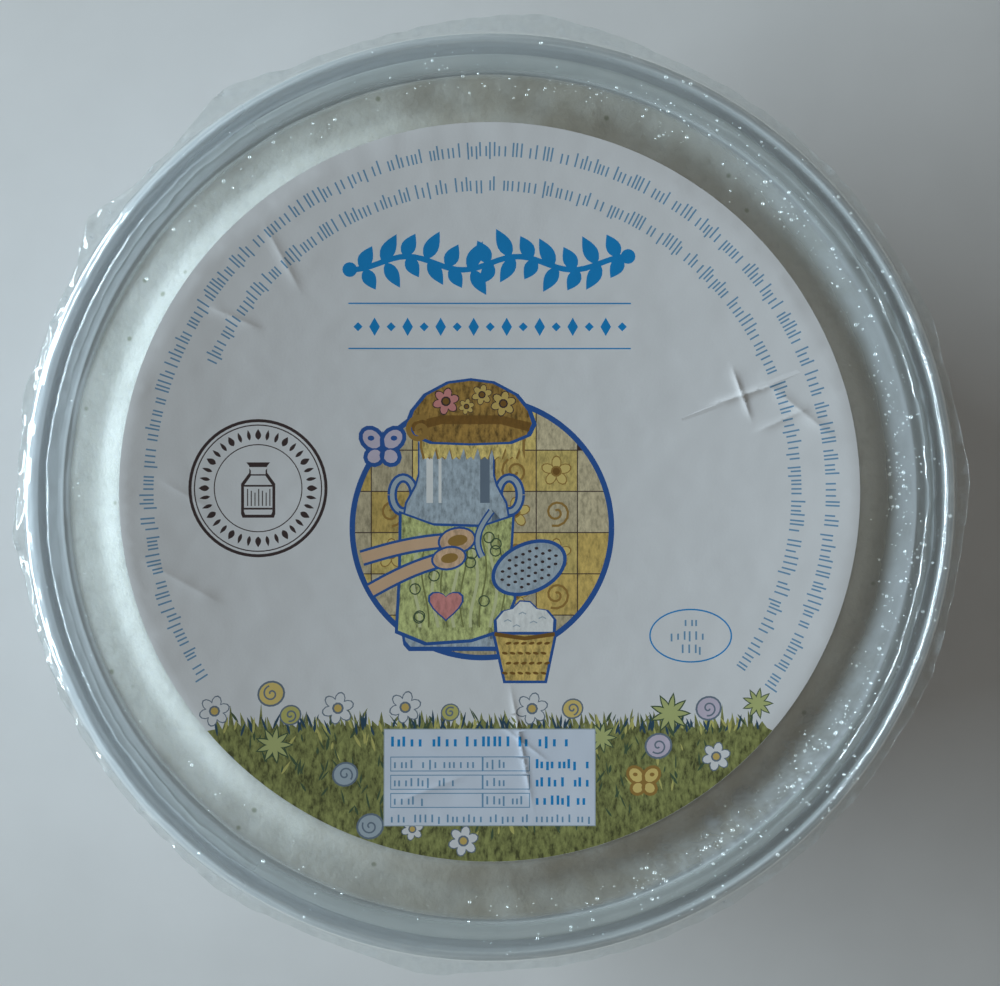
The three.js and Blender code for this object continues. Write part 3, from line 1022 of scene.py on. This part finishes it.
class Print:
    """The printed shapes in drawing order: outlines in mm about the label's centre, with ink and strokes."""

    def __init__(self):
        self.shapes = []
        self.dice = random.Random(17)

    def shape(self, ink, outline, strokes=0.0):
        ends = outline[1:] + outline[:1]
        area = sum(x0 * y1 - x1 * y0 for (x0, y0), (x1, y1) in zip(outline, ends))
        self.shapes.append((ink, strokes, list(outline) if area > 0 else list(outline)[::-1]))

    def outlined(self, ink, outline, grow=0.5, strokes=0.0, line_ink=INK_NAVY):
        """A shape with a drawn line round it, which stands out by as much as the grow value."""
        mx = sum(u for u, v in outline) / len(outline)
        my = sum(v for u, v in outline) / len(outline)
        swell = 1 + grow / max(hypot(u - mx, v - my) for u, v in outline)
        self.shape(line_ink, [(mx + (u - mx) * swell, my + (v - my) * swell) for u, v in outline])
        self.shape(ink, outline, strokes)

    def ellipse(self, ink, x, y, wide, high, turn=0.0, points=24, strokes=0.0):
        c, s = cos(turn), sin(turn)
        circle = [(wide * cos(a), high * sin(a)) for a in all_round(points)]
        self.shape(ink, [(x + u * c - v * s, y + u * s + v * c) for u, v in circle], strokes)

    def line(self, ink, places, width):
        """A stroke of even width through places that turn gently."""
        left, right = [], []
        for i, (x, y) in enumerate(places):
            before, after = places[max(0, i - 1)], places[min(len(places) - 1, i + 1)]
            dx, dy = after[0] - before[0], after[1] - before[1]
            length = hypot(dx, dy)
            nx, ny = -dy / length * width / 2, dx / length * width / 2
            left.append((x + nx, y + ny))
            right.append((x - nx, y - ny))
        self.shape(ink, left + right[::-1])

    def ring(self, ink, x, y, wide, high, width, points=64):
        """An oval line, made of its two halves."""
        for start in (0, pi):
            half = spread(start, start + pi, points // 2 + 1)
            self.line(ink, [(x + wide * cos(a), y + high * sin(a)) for a in half], width)

    def box(self, ink, x0, y0, x1, y1):
        self.shape(ink, [(x0, y0), (x1, y0), (x1, y1), (x0, y1)])

    def frame(self, ink, x0, y0, x1, y1, width):
        self.box(ink, x0, y0, x1, y0 + width)
        self.box(ink, x0, y1 - width, x1, y1)
        self.box(ink, x0, y0 + width, x0 + width, y1 - width)
        self.box(ink, x1 - width, y0 + width, x1, y1 - width)

    def petal(self, ink, x, y, length, width, turn):
        """A leaf or petal that starts at a place and points in a direction."""
        c, s = cos(turn), sin(turn)
        sides = [(t, sin(pi * t**0.8) * width / 2) for t in spread(0, 1, 8)]
        outline = sides + [(t, -w) for t, w in sides[-2:0:-1]]
        self.shape(ink, [(x + t * length * c - w * s, y + t * length * s + w * c) for t, w in outline])

    def flower(self, x, y, size, petal, heart, edge, petals=6):
        reach = size * 0.62
        for grow, ink in ((1.22, edge), (1.0, petal)):
            for turn in all_round(petals):
                a = turn + 0.3
                long, wide = size * 0.42 * grow, size * 0.30 * grow
                self.ellipse(ink, x + reach * cos(a), y + reach * sin(a), long, wide, a, 10)
        self.ellipse(edge, x, y, size * 0.40, size * 0.40, 0, 10)
        self.ellipse(heart, x, y, size * 0.27, size * 0.27, 0, 8)

    def spiral(self, ink, x, y, size, width, turns=1.6, lean=0.0):
        steps = 22
        places = []
        for i in range(steps):
            reach = size * (1 - i / steps * 0.9)
            a = lean + turns * 2 * pi * i / steps
            places.append((x + reach * cos(a), y + reach * sin(a)))
        self.line(ink, places, width)

    def butterfly(self, x, y, size, wing, edge):
        for side in (-1, 1):
            for grow, ink in ((0.22, edge), (0, wing)):
                for out, up, long, wide, turn, points in WINGS:
                    middle = (x + side * size * out, y + size * up)
                    reach = (size * (long + grow), size * (wide + grow))
                    self.ellipse(ink, *middle, *reach, side * turn, points)
            self.ellipse(edge, x + side * size * 0.6, y + size * 0.5, size * 0.18, size * 0.14, 0, 8)
        self.petal(edge, x, y - size * 0.8, size * 1.7, size * 0.26, pi / 2)

    def ticks(self, ink, place, length, height, pitch, width):
        """Words of upright tick marks along a line: place(s, up) gives a point."""
        dice = self.dice
        s = 0.0
        word = dice.randint(3, 9)
        while s < length:
            tall = height * (1.0 if dice.random() < 0.35 else 0.72)
            low = height * (-0.2 if dice.random() < 0.1 else 0)
            self.shape(ink, [place(s, low), place(s + width, low), place(s + width, tall), place(s, tall)])
            s += pitch * dice.choice((0.8, 1.0, 1.3))
            word -= 1
            if word == 0:
                word = dice.randint(2, 9)
                s += pitch * 0.9

    def row(self, ink, x, y, length, height, pitch, width):
        """A straight row of tick marks from a place to its right."""
        self.ticks(ink, lambda s, up: (x + s, y + up), length, height, pitch, width)


def draw_tiles(sheet, cx, cy, radius):
    """Square tiles with dark joints, each shaded a little differently and with a swirl or blossom."""
    dice = sheet.dice
    size, joint = 5.6, 0.14
    sheet.ellipse(INK_STAMP, cx, cy, radius, radius, 0, 96)
    for i in range(-4, 5):
        for j in range(-4, 4):
            x0, y0 = 0.6 + i * size, -5.6 + j * size
            mx, my = x0 + size / 2, y0 + size / 2
            away = hypot(mx - cx, my - cy)
            if away > radius + 2.5:
                continue
            tone = dice.choice((INK_OCHRE, INK_SAND, INK_SAND, INK_STRAW))
            shade = dice.uniform(0.8, 1.05)
            left, low, right, high = x0 + joint, y0 + joint, x0 + size, y0 + size
            corners = [(left, low), (right, low), (right, high), (left, high)]
            sheet.shape(tuple(c * shade for c in tone), corners, 0.5)
            if away < radius - 3.2 and (i + j) % 2:
                sheet.spiral(INK_EARTH, mx, my, 1.9, 0.32, 1.7, dice.uniform(0, 6))
            elif away < radius - 3.2:
                sheet.flower(mx, my, 1.9, INK_STRAW, INK_BROWN, INK_EARTH, 5)
    sheet.ring(INK_WHITE, cx, cy, radius + 4.0, radius + 4.0, 8.0, 128)
    sheet.ring(INK_NAVY, cx, cy, radius, radius, 0.75, 128)


def both_sides(half_outline):
    """A symmetrical outline from its right half, listed from the foot up."""
    return half_outline + [(-u, v) for u, v in half_outline[::-1] if u > 0]


def draw_churn(sheet, x, foot):
    """A steel churn with two handles, shaded down its right side."""
    half = [(0, 0), (6.2, 0), (6.9, 0.8), (7.1, 2), (7.1, 17.0), (6.7, 19.4), (5.4, 21.8), (5.0, 23.2),
            (5.0, 27.6), (5.6, 28.6), (0, 28.6)]
    for side in (-1, 1):
        for ink, width in ((INK_NAVY, 1.3), (INK_STEEL, 0.6)):
            sheet.ring(ink, x + side * 7.2, foot + 20.6, 1.5, 2.3, width, 24)
    sheet.outlined(INK_STEEL, at(x, foot, both_sides(half)), 0.65, 0.5)
    for across, width, ink in ((-3.6, 0.9, INK_CURD), (-2.2, 0.4, INK_CURD), (3.9, 1.3, INK_STEEL_DARK)):
        sheet.line(ink, [(x + across, foot + v) for v in spread(19.5, 26.5, 6)], width)
    dark_side = [(4.6, 1), (6.9, 1.5), (6.9, 15), (6.3, 17), (4.9, 18.6)]
    sheet.shape(INK_STEEL_DARK, at(x, foot, dark_side), 0.5)
    sheet.shape(INK_CURD, at(x, foot, [(-5.6, 2), (-4.7, 2), (-4.7, 16), (-5.5, 15)]), 0.2)


def draw_lid(sheet, x, foot):
    """The churn's brown lid on a frill of straw, with a band and four blossoms."""
    half = [(0, 0), (5.2, 0.2), (7.6, 1.2), (8.3, 2.7), (7.7, 4.4), (6.0, 6.5), (3.0, 8.1), (0, 8.5)]
    band = [(-7.9, 1.6), (-4, 2.6), (4, 2.6), (7.9, 1.6), (8.2, 2.8), (4, 3.8), (-4, 3.8), (-8.2, 2.8)]
    frill = [(x - 6.6, foot + 1.4)]
    for i in range(15):
        frill += [(x - 6.6 + 0.94 * i, foot - 0.6 - 1.2 * (i % 2)), (x - 6.2 + 0.94 * i, foot - 2.2)]
    sheet.outlined(INK_STRAW, frill + [(x + 7.0, foot + 1.4)], 0.4, 0.8, INK_EARTH)
    sheet.outlined(INK_EARTH, at(x, foot, both_sides(half)), 0.65, 0.9)
    sheet.shape(INK_BROWN, at(x, foot, band), 0.3)
    sheet.flower(x - 3.4, foot + 5.7, 1.7, INK_ROSE, INK_BROWN, INK_STAMP)
    for u, v, size in ((1.5, 6.6, 1.3), (4.4, 5.4, 1.6), (-0.6, 5.0, 1.0)):
        sheet.flower(x + u, foot + v, size, INK_OCHRE, INK_BROWN, INK_STAMP)


def draw_cloth(sheet, x, foot):
    """A striped cloth tied round the churn, with rings and a small heart."""
    cloth = [(-7.9, 2.2), (-4.0, 0.6), (2.0, 1.0), (6.2, 2.4), (7.8, 6.5), (7.3, 12.5), (7.6, 17.6),
             (3.4, 16.2), (-3.0, 16.4), (-7.4, 18.0), (-7.5, 10.0)]
    sheet.outlined(INK_CLOTH, at(x, foot, cloth), 0.6, 0.9)
    for i in range(5):
        stripe = x - 5.4 + 2.6 * i
        pale = [(stripe + 0.5 * sin(v * 0.5 + i), foot + v) for v in spread(2.6, 15.4, 14)]
        dark = [(stripe + 1.2 + 0.5 * sin(v * 0.45 + i), foot + v) for v in spread(2.6, 15.2, 14)]
        sheet.line(INK_CLOTH_PALE, pale, 0.42)
        sheet.line(INK_GRASS, dark, 0.22)
    for i in range(12):
        a = i * 2.4
        ring_x, ring_y = x + 5.6 * sin(a), foot + 9.5 + 5.6 * cos(a * 1.7)
        sheet.ring(INK_GRASS_DARK, ring_x, ring_y, 0.72, 0.72, 0.18, 12)
    heart = [
        (2.2 * sin(t) ** 3, 1.75 * (cos(t) - 0.38 * cos(2 * t) - 0.15 * cos(3 * t)))
        for t in all_round(22)
    ]
    sheet.outlined(INK_ROSE, at(x - 1.4, foot + 5.8, heart), 0.3, 0.3)


def draw_spoons(sheet):
    """Two wooden spoons that lean from the lower left."""
    for x0, y0, x1, y1, bowl in ((-17.4, -9.0, -4.5, -6.6, 1.5), (-16.2, -13.4, -5.6, -9.0, 1.3)):
        places = [(x0 + (x1 - x0) * t, y0 + (y1 - y0) * t + 0.5 * sin(3 * t)) for t in spread(0, 1, 10)]
        sheet.line(INK_NAVY, places, 2.2)
        sheet.line(INK_WOOD, places, 1.5)
        sheet.ellipse(INK_NAVY, x1, y1, bowl + 1.15, bowl + 0.35, 0.2)
        sheet.ellipse(INK_WOOD, x1, y1, bowl + 0.85, bowl + 0.05, 0.2, strokes=0.4)
        sheet.ellipse(INK_EARTH, x1 + 0.1, y1, bowl * 0.9, bowl * 0.5, 0.2)


def draw_curd_basket(sheet):
    """A wicker basket with its mound of curd."""
    wicker = [(2.1, -25.6), (7.4, -25.6), (8.7, -19.4), (0.7, -19.4)]
    mound = [(1.0, -19.0), (0.9, -17.4), (1.9, -16.2), (3.1, -15.9), (4.1, -14.9), (5.4, -15.0),
             (6.3, -15.9), (7.6, -16.1), (8.6, -17.3), (8.5, -19.0)]
    sheet.outlined(INK_CURD, mound, 0.5, 0.2)
    sheet.outlined(INK_OCHRE, wicker, 0.6, 0.7)
    for row in range(4):
        for column in range(6):
            shift, turn = (0.5, 0.2) if row % 2 else (0, -0.2)
            sheet.ellipse(INK_BROWN, 2.0 + 1.05 * column + shift, -24.6 + 1.35 * row, 0.42, 0.20, turn, 8)
    sheet.line(INK_BROWN, [(0.6, -19.3), (4.7, -19.9), (8.8, -19.3)], 0.55)
    for x, y in ((2.4, -17.6), (4.4, -16.6), (5.9, -17.8), (7.1, -17.2), (3.6, -18.3)):
        sheet.line(INK_STEEL, [(x - 0.5, y), (x, y + 0.25), (x + 0.5, y)], 0.16)


def draw_skimmer(sheet):
    """A steel skimmer: a curved handle and an oval blade with rows of holes."""
    x, y, lean = 5.3, -10.3, 0.42
    handle = [(0.2 - 1.9 * sin(t), -2.6 - 5.2 * t / 2) for t in spread(0, 2.4, 12)]
    sheet.line(INK_NAVY, handle, 1.0)
    sheet.line(INK_STEEL, handle, 0.55)
    sheet.ellipse(INK_NAVY, x, y, 5.4, 3.5, lean, 36)
    sheet.ellipse(INK_STEEL, x, y, 4.9, 3.0, lean, 36, 0.35)
    c, s = cos(lean), sin(lean)
    for i in range(-4, 5):
        for j in range(-2, 3):
            u, v = i * 1.0 + 0.5 * (j % 2), j * 1.0
            if (u / 4.4) ** 2 + (v / 2.6) ** 2 < 0.9:
                sheet.ellipse(INK_STAMP, x + u * c - v * s, y + u * s + v * c, 0.27, 0.20, 0, 7)


def draw_still_life(sheet):
    """The roundel: a tiled wall behind a churn in a cloth, a wicker basket of curd and a skimmer."""
    churn_x, foot = -4.6, -21.0
    draw_tiles(sheet, -1.1, -4.9, 17.6)
    draw_churn(sheet, churn_x, foot)
    draw_lid(sheet, churn_x + 2.0, foot + 27.6)
    draw_cloth(sheet, churn_x, foot)
    draw_spoons(sheet)
    draw_curd_basket(sheet)
    draw_skimmer(sheet)


def draw_heading(sheet):
    """A leafy garland, and under it two rules with a chain of lozenges between them."""

    def stem(x):
        return 31.0 + 0.9 * sin(x * 0.42)

    sheet.line(INK_BLUE, [(x, stem(x)) for x in spread(-19.0, 18.6, 40)], 0.75)
    for i in range(13):
        x = -17.6 + 2.92 * i
        long = 4.3 if i % 2 else 3.5
        upper, lower = (62, -60) if i < 6 else (118, -120)
        sheet.petal(INK_BLUE, x, stem(x), long, 2.0, radians(upper))
        sheet.petal(INK_BLUE, x + 0.5, stem(x), long * 0.92, 1.9, radians(lower))
    for x in (-19.0, 18.7):
        sheet.ellipse(INK_BLUE, x, stem(x), 1.0, 1.0, 0, 16)
    for y in (25.55, 19.45):
        sheet.box(INK_BLUE, -19.2, y - 0.09, 19.1, y + 0.09)
    for i in range(17):
        x = -17.9 + 2.24 * i
        tall, wide = (1.25, 0.72) if i % 2 else (0.62, 0.62)
        sheet.shape(INK_BLUE, [(x - wide, 22.4), (x, 22.4 - tall), (x + wide, 22.4), (x, 22.4 + tall)])


def draw_rings(sheet):
    """Two rings of fine tick marks that run clockwise, the outer one almost all the way round."""
    for radius, start, turn in ((45.4, 213, 248), (40.8, 155, 190)):

        def place(s, up, radius=radius, start=start):
            angle = radians(start) - s / radius
            return (radius + up) * cos(angle), (radius + up) * sin(angle)

        sheet.ticks(INK_SMALL, place, radians(turn) * radius, 1.9, 0.62, 0.22)


def draw_stamp(sheet):
    """A round stamp on the left: two rings, a band of marks and a milk can."""
    x, y = -31.4, 0.5
    for radius, width in ((9.15, 0.42), (8.55, 0.16), (5.9, 0.14)):
        sheet.ring(INK_STAMP, x, y, radius, radius, width)
    for i, a in enumerate(all_round(36)):
        wide = 0.50 if i % 3 else 0.8
        sheet.petal(INK_STAMP, x + 6.55 * cos(a), y + 6.55 * sin(a), 1.45, wide, a)
    can = [(-2.1, -4.0), (2.1, -4.0), (2.3, -3.5), (2.3, 0.6), (1.2, 2.1), (1.2, 3.0), (1.6, 3.5),
           (-1.6, 3.5), (-1.2, 3.0), (-1.2, 2.1), (-2.3, 0.6), (-2.3, -3.5)]
    sheet.shape(INK_STAMP, at(x, y, can))
    sheet.shape(INK_WHITE, [(x + u * 0.83, y - 0.15 + v * 0.86) for u, v in can])
    for low, high, wide in ((-2.9, -2.65, 1.9), (0.2, 0.45, 1.9), (1.7, 1.9, 1.1)):
        sheet.box(INK_STAMP, x - wide, y + low, x + wide, y + high)
    for i in range(7):
        across = -1.5 + 0.5 * i
        sheet.box(INK_STAMP, x + across, y - 2.4, x + across + 0.14, y - 0.1 - 0.25 * (i % 3))


def draw_oval(sheet):
    """A small oval on the right with three short rows of tick marks."""
    x, y = 27.2, -19.5
    sheet.ring(INK_BLUE, x, y, 5.5, 3.55, 0.2)
    for length, lift in ((1.6, 1.3), (5.4, -0.55), (2.4, -2.35)):
        sheet.row(INK_SMALL, x - length / 2, y + lift, length, 1.15, 0.68, 0.24)


def draw_grass(sheet, ground):
    """Grass from its ragged top to the label's foot, with darker and paler blades."""
    dice = sheet.dice
    reach = 49.2
    corner = sqrt(reach**2 - ground**2)
    tops = []
    x = -corner + 0.4
    while x < corner - 0.4:
        tall = dice.uniform(0.6, 2.4) + (1.4 if abs(x) > 30 and dice.random() < 0.25 else 0)
        tops += [(x, ground + dice.uniform(-0.2, 0.3)), (x + dice.uniform(-0.3, 0.5), ground + tall)]
        x += dice.uniform(0.55, 0.95)
    start = atan2(ground, corner) + 0.004
    end = atan2(ground, -corner) - 0.004
    edge = LABEL_RADIUS * 0.9995
    foot = [(edge * cos(a), edge * sin(a)) for a in spread(start, end, 140)]
    sheet.shape(INK_GRASS, tops + [(corner, ground)] + foot, 1.0)
    for i in range(620):
        x, y = dice.uniform(-37, 37), dice.uniform(-48.5, ground + 0.8)
        if hypot(x, y) > 47.6:
            continue
        shaded = cloud(x, y, 5, 97.0) > 0.05
        ink = (INK_GRASS_DARK, INK_GRASS_DARK if shaded else INK_GRASS_PALE, INK_GRASS)[i % 3]
        long, wide = dice.uniform(1.0, 2.4), dice.uniform(0.18, 0.40)
        sheet.petal(ink, x, y, long, wide, radians(dice.uniform(50, 130)))
    for i in range(110):
        x = dice.uniform(-37, 37)
        blade = INK_GRASS_SHADE if i % 3 else INK_GRASS_PALE
        lean = radians(dice.uniform(60, 120))
        sheet.petal(blade, x, ground - dice.uniform(0.0, 1.2), dice.uniform(1.2, 2.6), 0.34, lean)


def draw_meadow(sheet):
    """Grass with daisies, rosettes, swirled buds and two butterflies."""
    draw_grass(sheet, -31.9)
    for x, y, size in (
        (-37.2, -29.6, 1.9), (-20.6, -29.3, 2.0), (-11.5, -29.2, 2.0), (5.7, -29.4, 2.0),
        (-26.4, -40.2, 1.8), (-3.6, -47.2, 1.9), (12.7, -46.9, 1.8), (30.6, -35.8, 1.8),
        (30.4, -39.4, 1.5), (-10.5, -45.6, 1.4),
    ):
        if hypot(x, y) + size < 49.6:
            sheet.flower(x, y, size, INK_WHITE, INK_OCHRE, INK_STEEL_DARK)
    for x, y, size in ((-29.2, -34.2, 2.3), (24.4, -30.0, 2.5), (15.1, -33.3, 1.9), (36.2, -28.6, 1.9)):
        for ink, long, wide in ((INK_GRASS_DARK, 1.15, 0.40), (INK_CLOTH, 1, 0.28)):
            for turn in all_round(9):
                sheet.petal(ink, x, y, size * long, size * wide, turn)
    for x, y, size, ink in (
        (-29.6, -27.3, 1.9, INK_STRAW), (-16.2, -45.2, 1.9, INK_STEEL), (-19.6, -38.2, 1.8, INK_STEEL),
        (11.2, -29.4, 1.5, INK_STRAW), (22.8, -34.4, 1.9, INK_LILAC), (29.6, -29.3, 1.8, INK_LILAC),
        (-27.0, -30.2, 1.5, INK_GRASS_PALE), (-5.4, -29.9, 1.3, INK_GRASS_PALE),
    ):
        sheet.ellipse(INK_STEEL_DARK, x, y, size, size * 0.92, 0.4, 18)
        sheet.ellipse(ink, x, y, size * 0.86, size * 0.78, 0.4, 18)
        sheet.spiral(INK_STEEL_DARK, x, y, size * 0.58, 0.22, 1.3, x)
    sheet.butterfly(20.8, -39.2, 1.9, INK_STRAW, INK_EARTH)
    sheet.butterfly(-36.0, -37.0, 1.2, INK_LILAC, INK_STEEL_DARK)


def draw_panel(sheet):
    """A pale panel of rows, each with a boxed mark, as on packs that say how to sort their parts."""
    sheet.box(INK_PANEL, -14.4, -45.2, 14.3, -32.1)
    sheet.frame(INK_STEEL, -14.4, -45.2, 14.3, -32.1, 0.12)
    sheet.row(INK_BLUE, -13.4, -34.5, 24.0, 1.35, 0.85, 0.38)
    for i, (first, second) in enumerate(((11.4, 2.6), (8.2, 2.8), (4.0, 5.2))):
        y = -37.6 - 2.45 * i
        sheet.frame(INK_SMALL, -13.5, y - 0.25, -1.0, y + 1.75, 0.12)
        sheet.frame(INK_SMALL, -1.0, y - 0.25, 5.4, y + 1.75, 0.12)
        sheet.row(INK_SMALL, -13.0, y + 0.2, first, 1.1, 0.72, 0.24)
        sheet.row(INK_SMALL, -0.5, y + 0.2, second, 1.1, 0.72, 0.24)
        sheet.row(INK_BLUE, 6.2, y + 0.15, 6.9, 1.25, 0.78, 0.36)
    sheet.row(INK_SMALL, -13.4, -44.7, 26.8, 1.05, 0.70, 0.24)


def printed_shapes():
    """The whole print, in the order in which the shapes cover each other."""
    sheet = Print()
    for draw in (draw_still_life, draw_heading, draw_rings, draw_stamp, draw_oval, draw_meadow, draw_panel):
        draw(sheet)
    sheet.butterfly(-14.6, 6.0, 2.6, INK_LILAC, INK_NAVY)
    sheet.spiral(INK_EARTH, -9.6, 8.4, 1.9, 0.7, 1.4, 1.0)
    return sheet.shapes


def label_finish():
    """Coated paper with flat inks over it: hand-drawn areas carry short pencil-like strokes."""
    m = Finish("printed coated paper")
    squeezed = m.add("ShaderNodeMapping", Vector=m.place, Scale=(1.0, 0.42, 1.0)).outputs[0]
    pencil = m.noise(0.62 * MM, detail=3, where=squeezed, roughness=0.7)
    shade = m.ramp(pencil, (0.34, 0.35), (0.48, 0.95), (0.66, 1.5))
    drawn = m.mix(m.attribute("strokes"), (1.0, 1.0, 1.0), shade)
    paper = m.ramp(m.noise(7 * MM, detail=4), (0.35, 0.975), (0.65, 1.0))
    colour = m.mix(1.0, m.attribute("ink", "Color"), drawn, "MULTIPLY")
    colour = m.mix(1.0, colour, paper, "MULTIPLY")
    fibre = m.bump(m.noise(0.35 * MM, detail=3), 0.008 * MM)
    return m.done(m.shader("Principled", Base_Color=colour, Roughness=0.42, Normal=fibre))


def paper_points():
    """Places all over the paper that let it bend: an even grid, and rows along each crease."""
    steps = int(LABEL_RADIUS / PAPER_PITCH)
    span = range(-steps, steps + 1)
    points = [((i + 0.5 * (j % 2)) * PAPER_PITCH, j * PAPER_PITCH * 0.87) for i in span for j in span]
    for x0, y0, x1, y1, width, _ in LABEL_CREASES:
        length = hypot(x1 - x0, y1 - y0)
        nx, ny = -(y1 - y0) / length, (x1 - x0) / length
        for t in spread(-0.15, 1.15, int(length / 0.4)):
            for aside in CREASE_ROWS:
                x = x0 + (x1 - x0) * t + nx * aside * width
                y = y0 + (y1 - y0) * t + ny * aside * width - LABEL_CENTRE_Y
                points.append((x, y))
    return [(x, y) for x, y in points if hypot(x, y) < LABEL_RADIUS - 0.8]


def printed_paper():
    """The flat paper cut along the printed shapes: points, triangles, and each one's ink and strokes."""
    shapes = printed_shapes()
    rim = [(LABEL_RADIUS * cos(a), LABEL_RADIUS * sin(a)) for a in all_round(LABEL_RIM_POINTS)]
    points = [Vector(point) for point in paper_points()]
    patches = []
    for outline in [rim] + [outline for ink, strokes, outline in shapes]:
        patches.append(list(range(len(points), len(points) + len(outline))))
        points += [Vector(point) for point in outline]
    flat, _, pieces, _, _, sources = geometry.delaunay_2d_cdt(points, [], patches, 1, 1e-4, True)
    triangles, inks, drawn = [], [], []
    for piece, patches_here in zip(pieces, sources):
        a, b, c = (flat[i] for i in piece)
        turning = (b - a).cross(c - a)
        if 0 not in patches_here or abs(turning) < 1e-9:
            continue
        top = max(patches_here)
        ink, strokes = (INK_WHITE, 0.0) if top == 0 else shapes[top - 1][:2]
        triangles.append(tuple(piece) if turning > 0 else tuple(piece)[::-1])
        inks.append(ink)
        drawn.append(strokes)
    return flat, triangles, inks, drawn


def outer_loop(triangles):
    """The points round the edge of a sheet of triangles, in order."""
    edges = {}
    for triangle in triangles:
        edges.update(dict.fromkeys(zip(triangle, triangle[1:] + triangle[:1])))
    following = {a: b for a, b in edges if (b, a) not in edges}
    first = next(iter(following))
    loop = [first]
    while following[loop[-1]] != first:
        loop.append(following[loop[-1]])
    return loop


def upper_normal(x, y):
    """The upper face's direction at a place, from its height close by."""
    step = 0.12
    east = label_height(x + step, y) - label_height(x - step, y)
    north = label_height(x, y + step) - label_height(x, y - step)
    return Vector((-east / (2 * step), -north / (2 * step), 1)).normalized()


def make_label():
    flat, triangles, inks, drawn = printed_paper()
    places = [(p.x, p.y + LABEL_CENTRE_Y) for p in flat]
    points = [Vector((x, y, label_height(x, y))) * MM for x, y in places]
    faces = list(triangles)
    loop = outer_loop(triangles)
    count = len(loop)
    above = loop
    for share in (1.0, *LABEL_UNDERSIDE_RINGS):
        below = list(range(len(points), len(points) + count))
        for i in loop:
            x, y = flat[i].x * share, flat[i].y * share + LABEL_CENTRE_Y
            points.append(Vector((x, y, label_height(x, y) - LABEL_THICKNESS)) * MM)
        for i in range(count):
            after = (i + 1) % count
            faces.append((above[after], above[i], below[i], below[after]))
        above = below
    points.append(Vector((0, LABEL_CENTRE_Y, label_height(0, LABEL_CENTRE_Y) - LABEL_THICKNESS)) * MM)
    faces += [(above[(i + 1) % count], above[i], len(points) - 1) for i in range(count)]
    label = mesh_object("printed_label", points, faces)
    mesh = label.data
    mesh.polygons.foreach_set("use_smooth", [True] * len(faces))
    plain = len(faces) - len(triangles)
    strokes = mesh.attributes.new("strokes", "FLOAT", "FACE")
    strokes.data.foreach_set("value", drawn + [0.0] * plain)
    colours = []
    for face, colour in zip(mesh.polygons, inks + [INK_WHITE] * plain):
        colours += [*colour, 1.0] * face.loop_total
    ink = mesh.color_attributes.new("ink", "FLOAT_COLOR", "CORNER")
    ink.data.foreach_set("color", colours)
    # The upper face is shaded by its height, not by its uneven triangles.
    slopes = [upper_normal(x, y) for x, y in places]
    normals = []
    for face in mesh.polygons:
        for corner in face.loop_indices:
            index = mesh.loops[corner].vertex_index
            normals.append(slopes[index] if face.index < len(triangles) else face.normal)
    mesh.normals_split_custom_set(normals)
    mesh.materials.append(label_finish())
    return label


label = make_label()
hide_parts("label")
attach(label, "root")
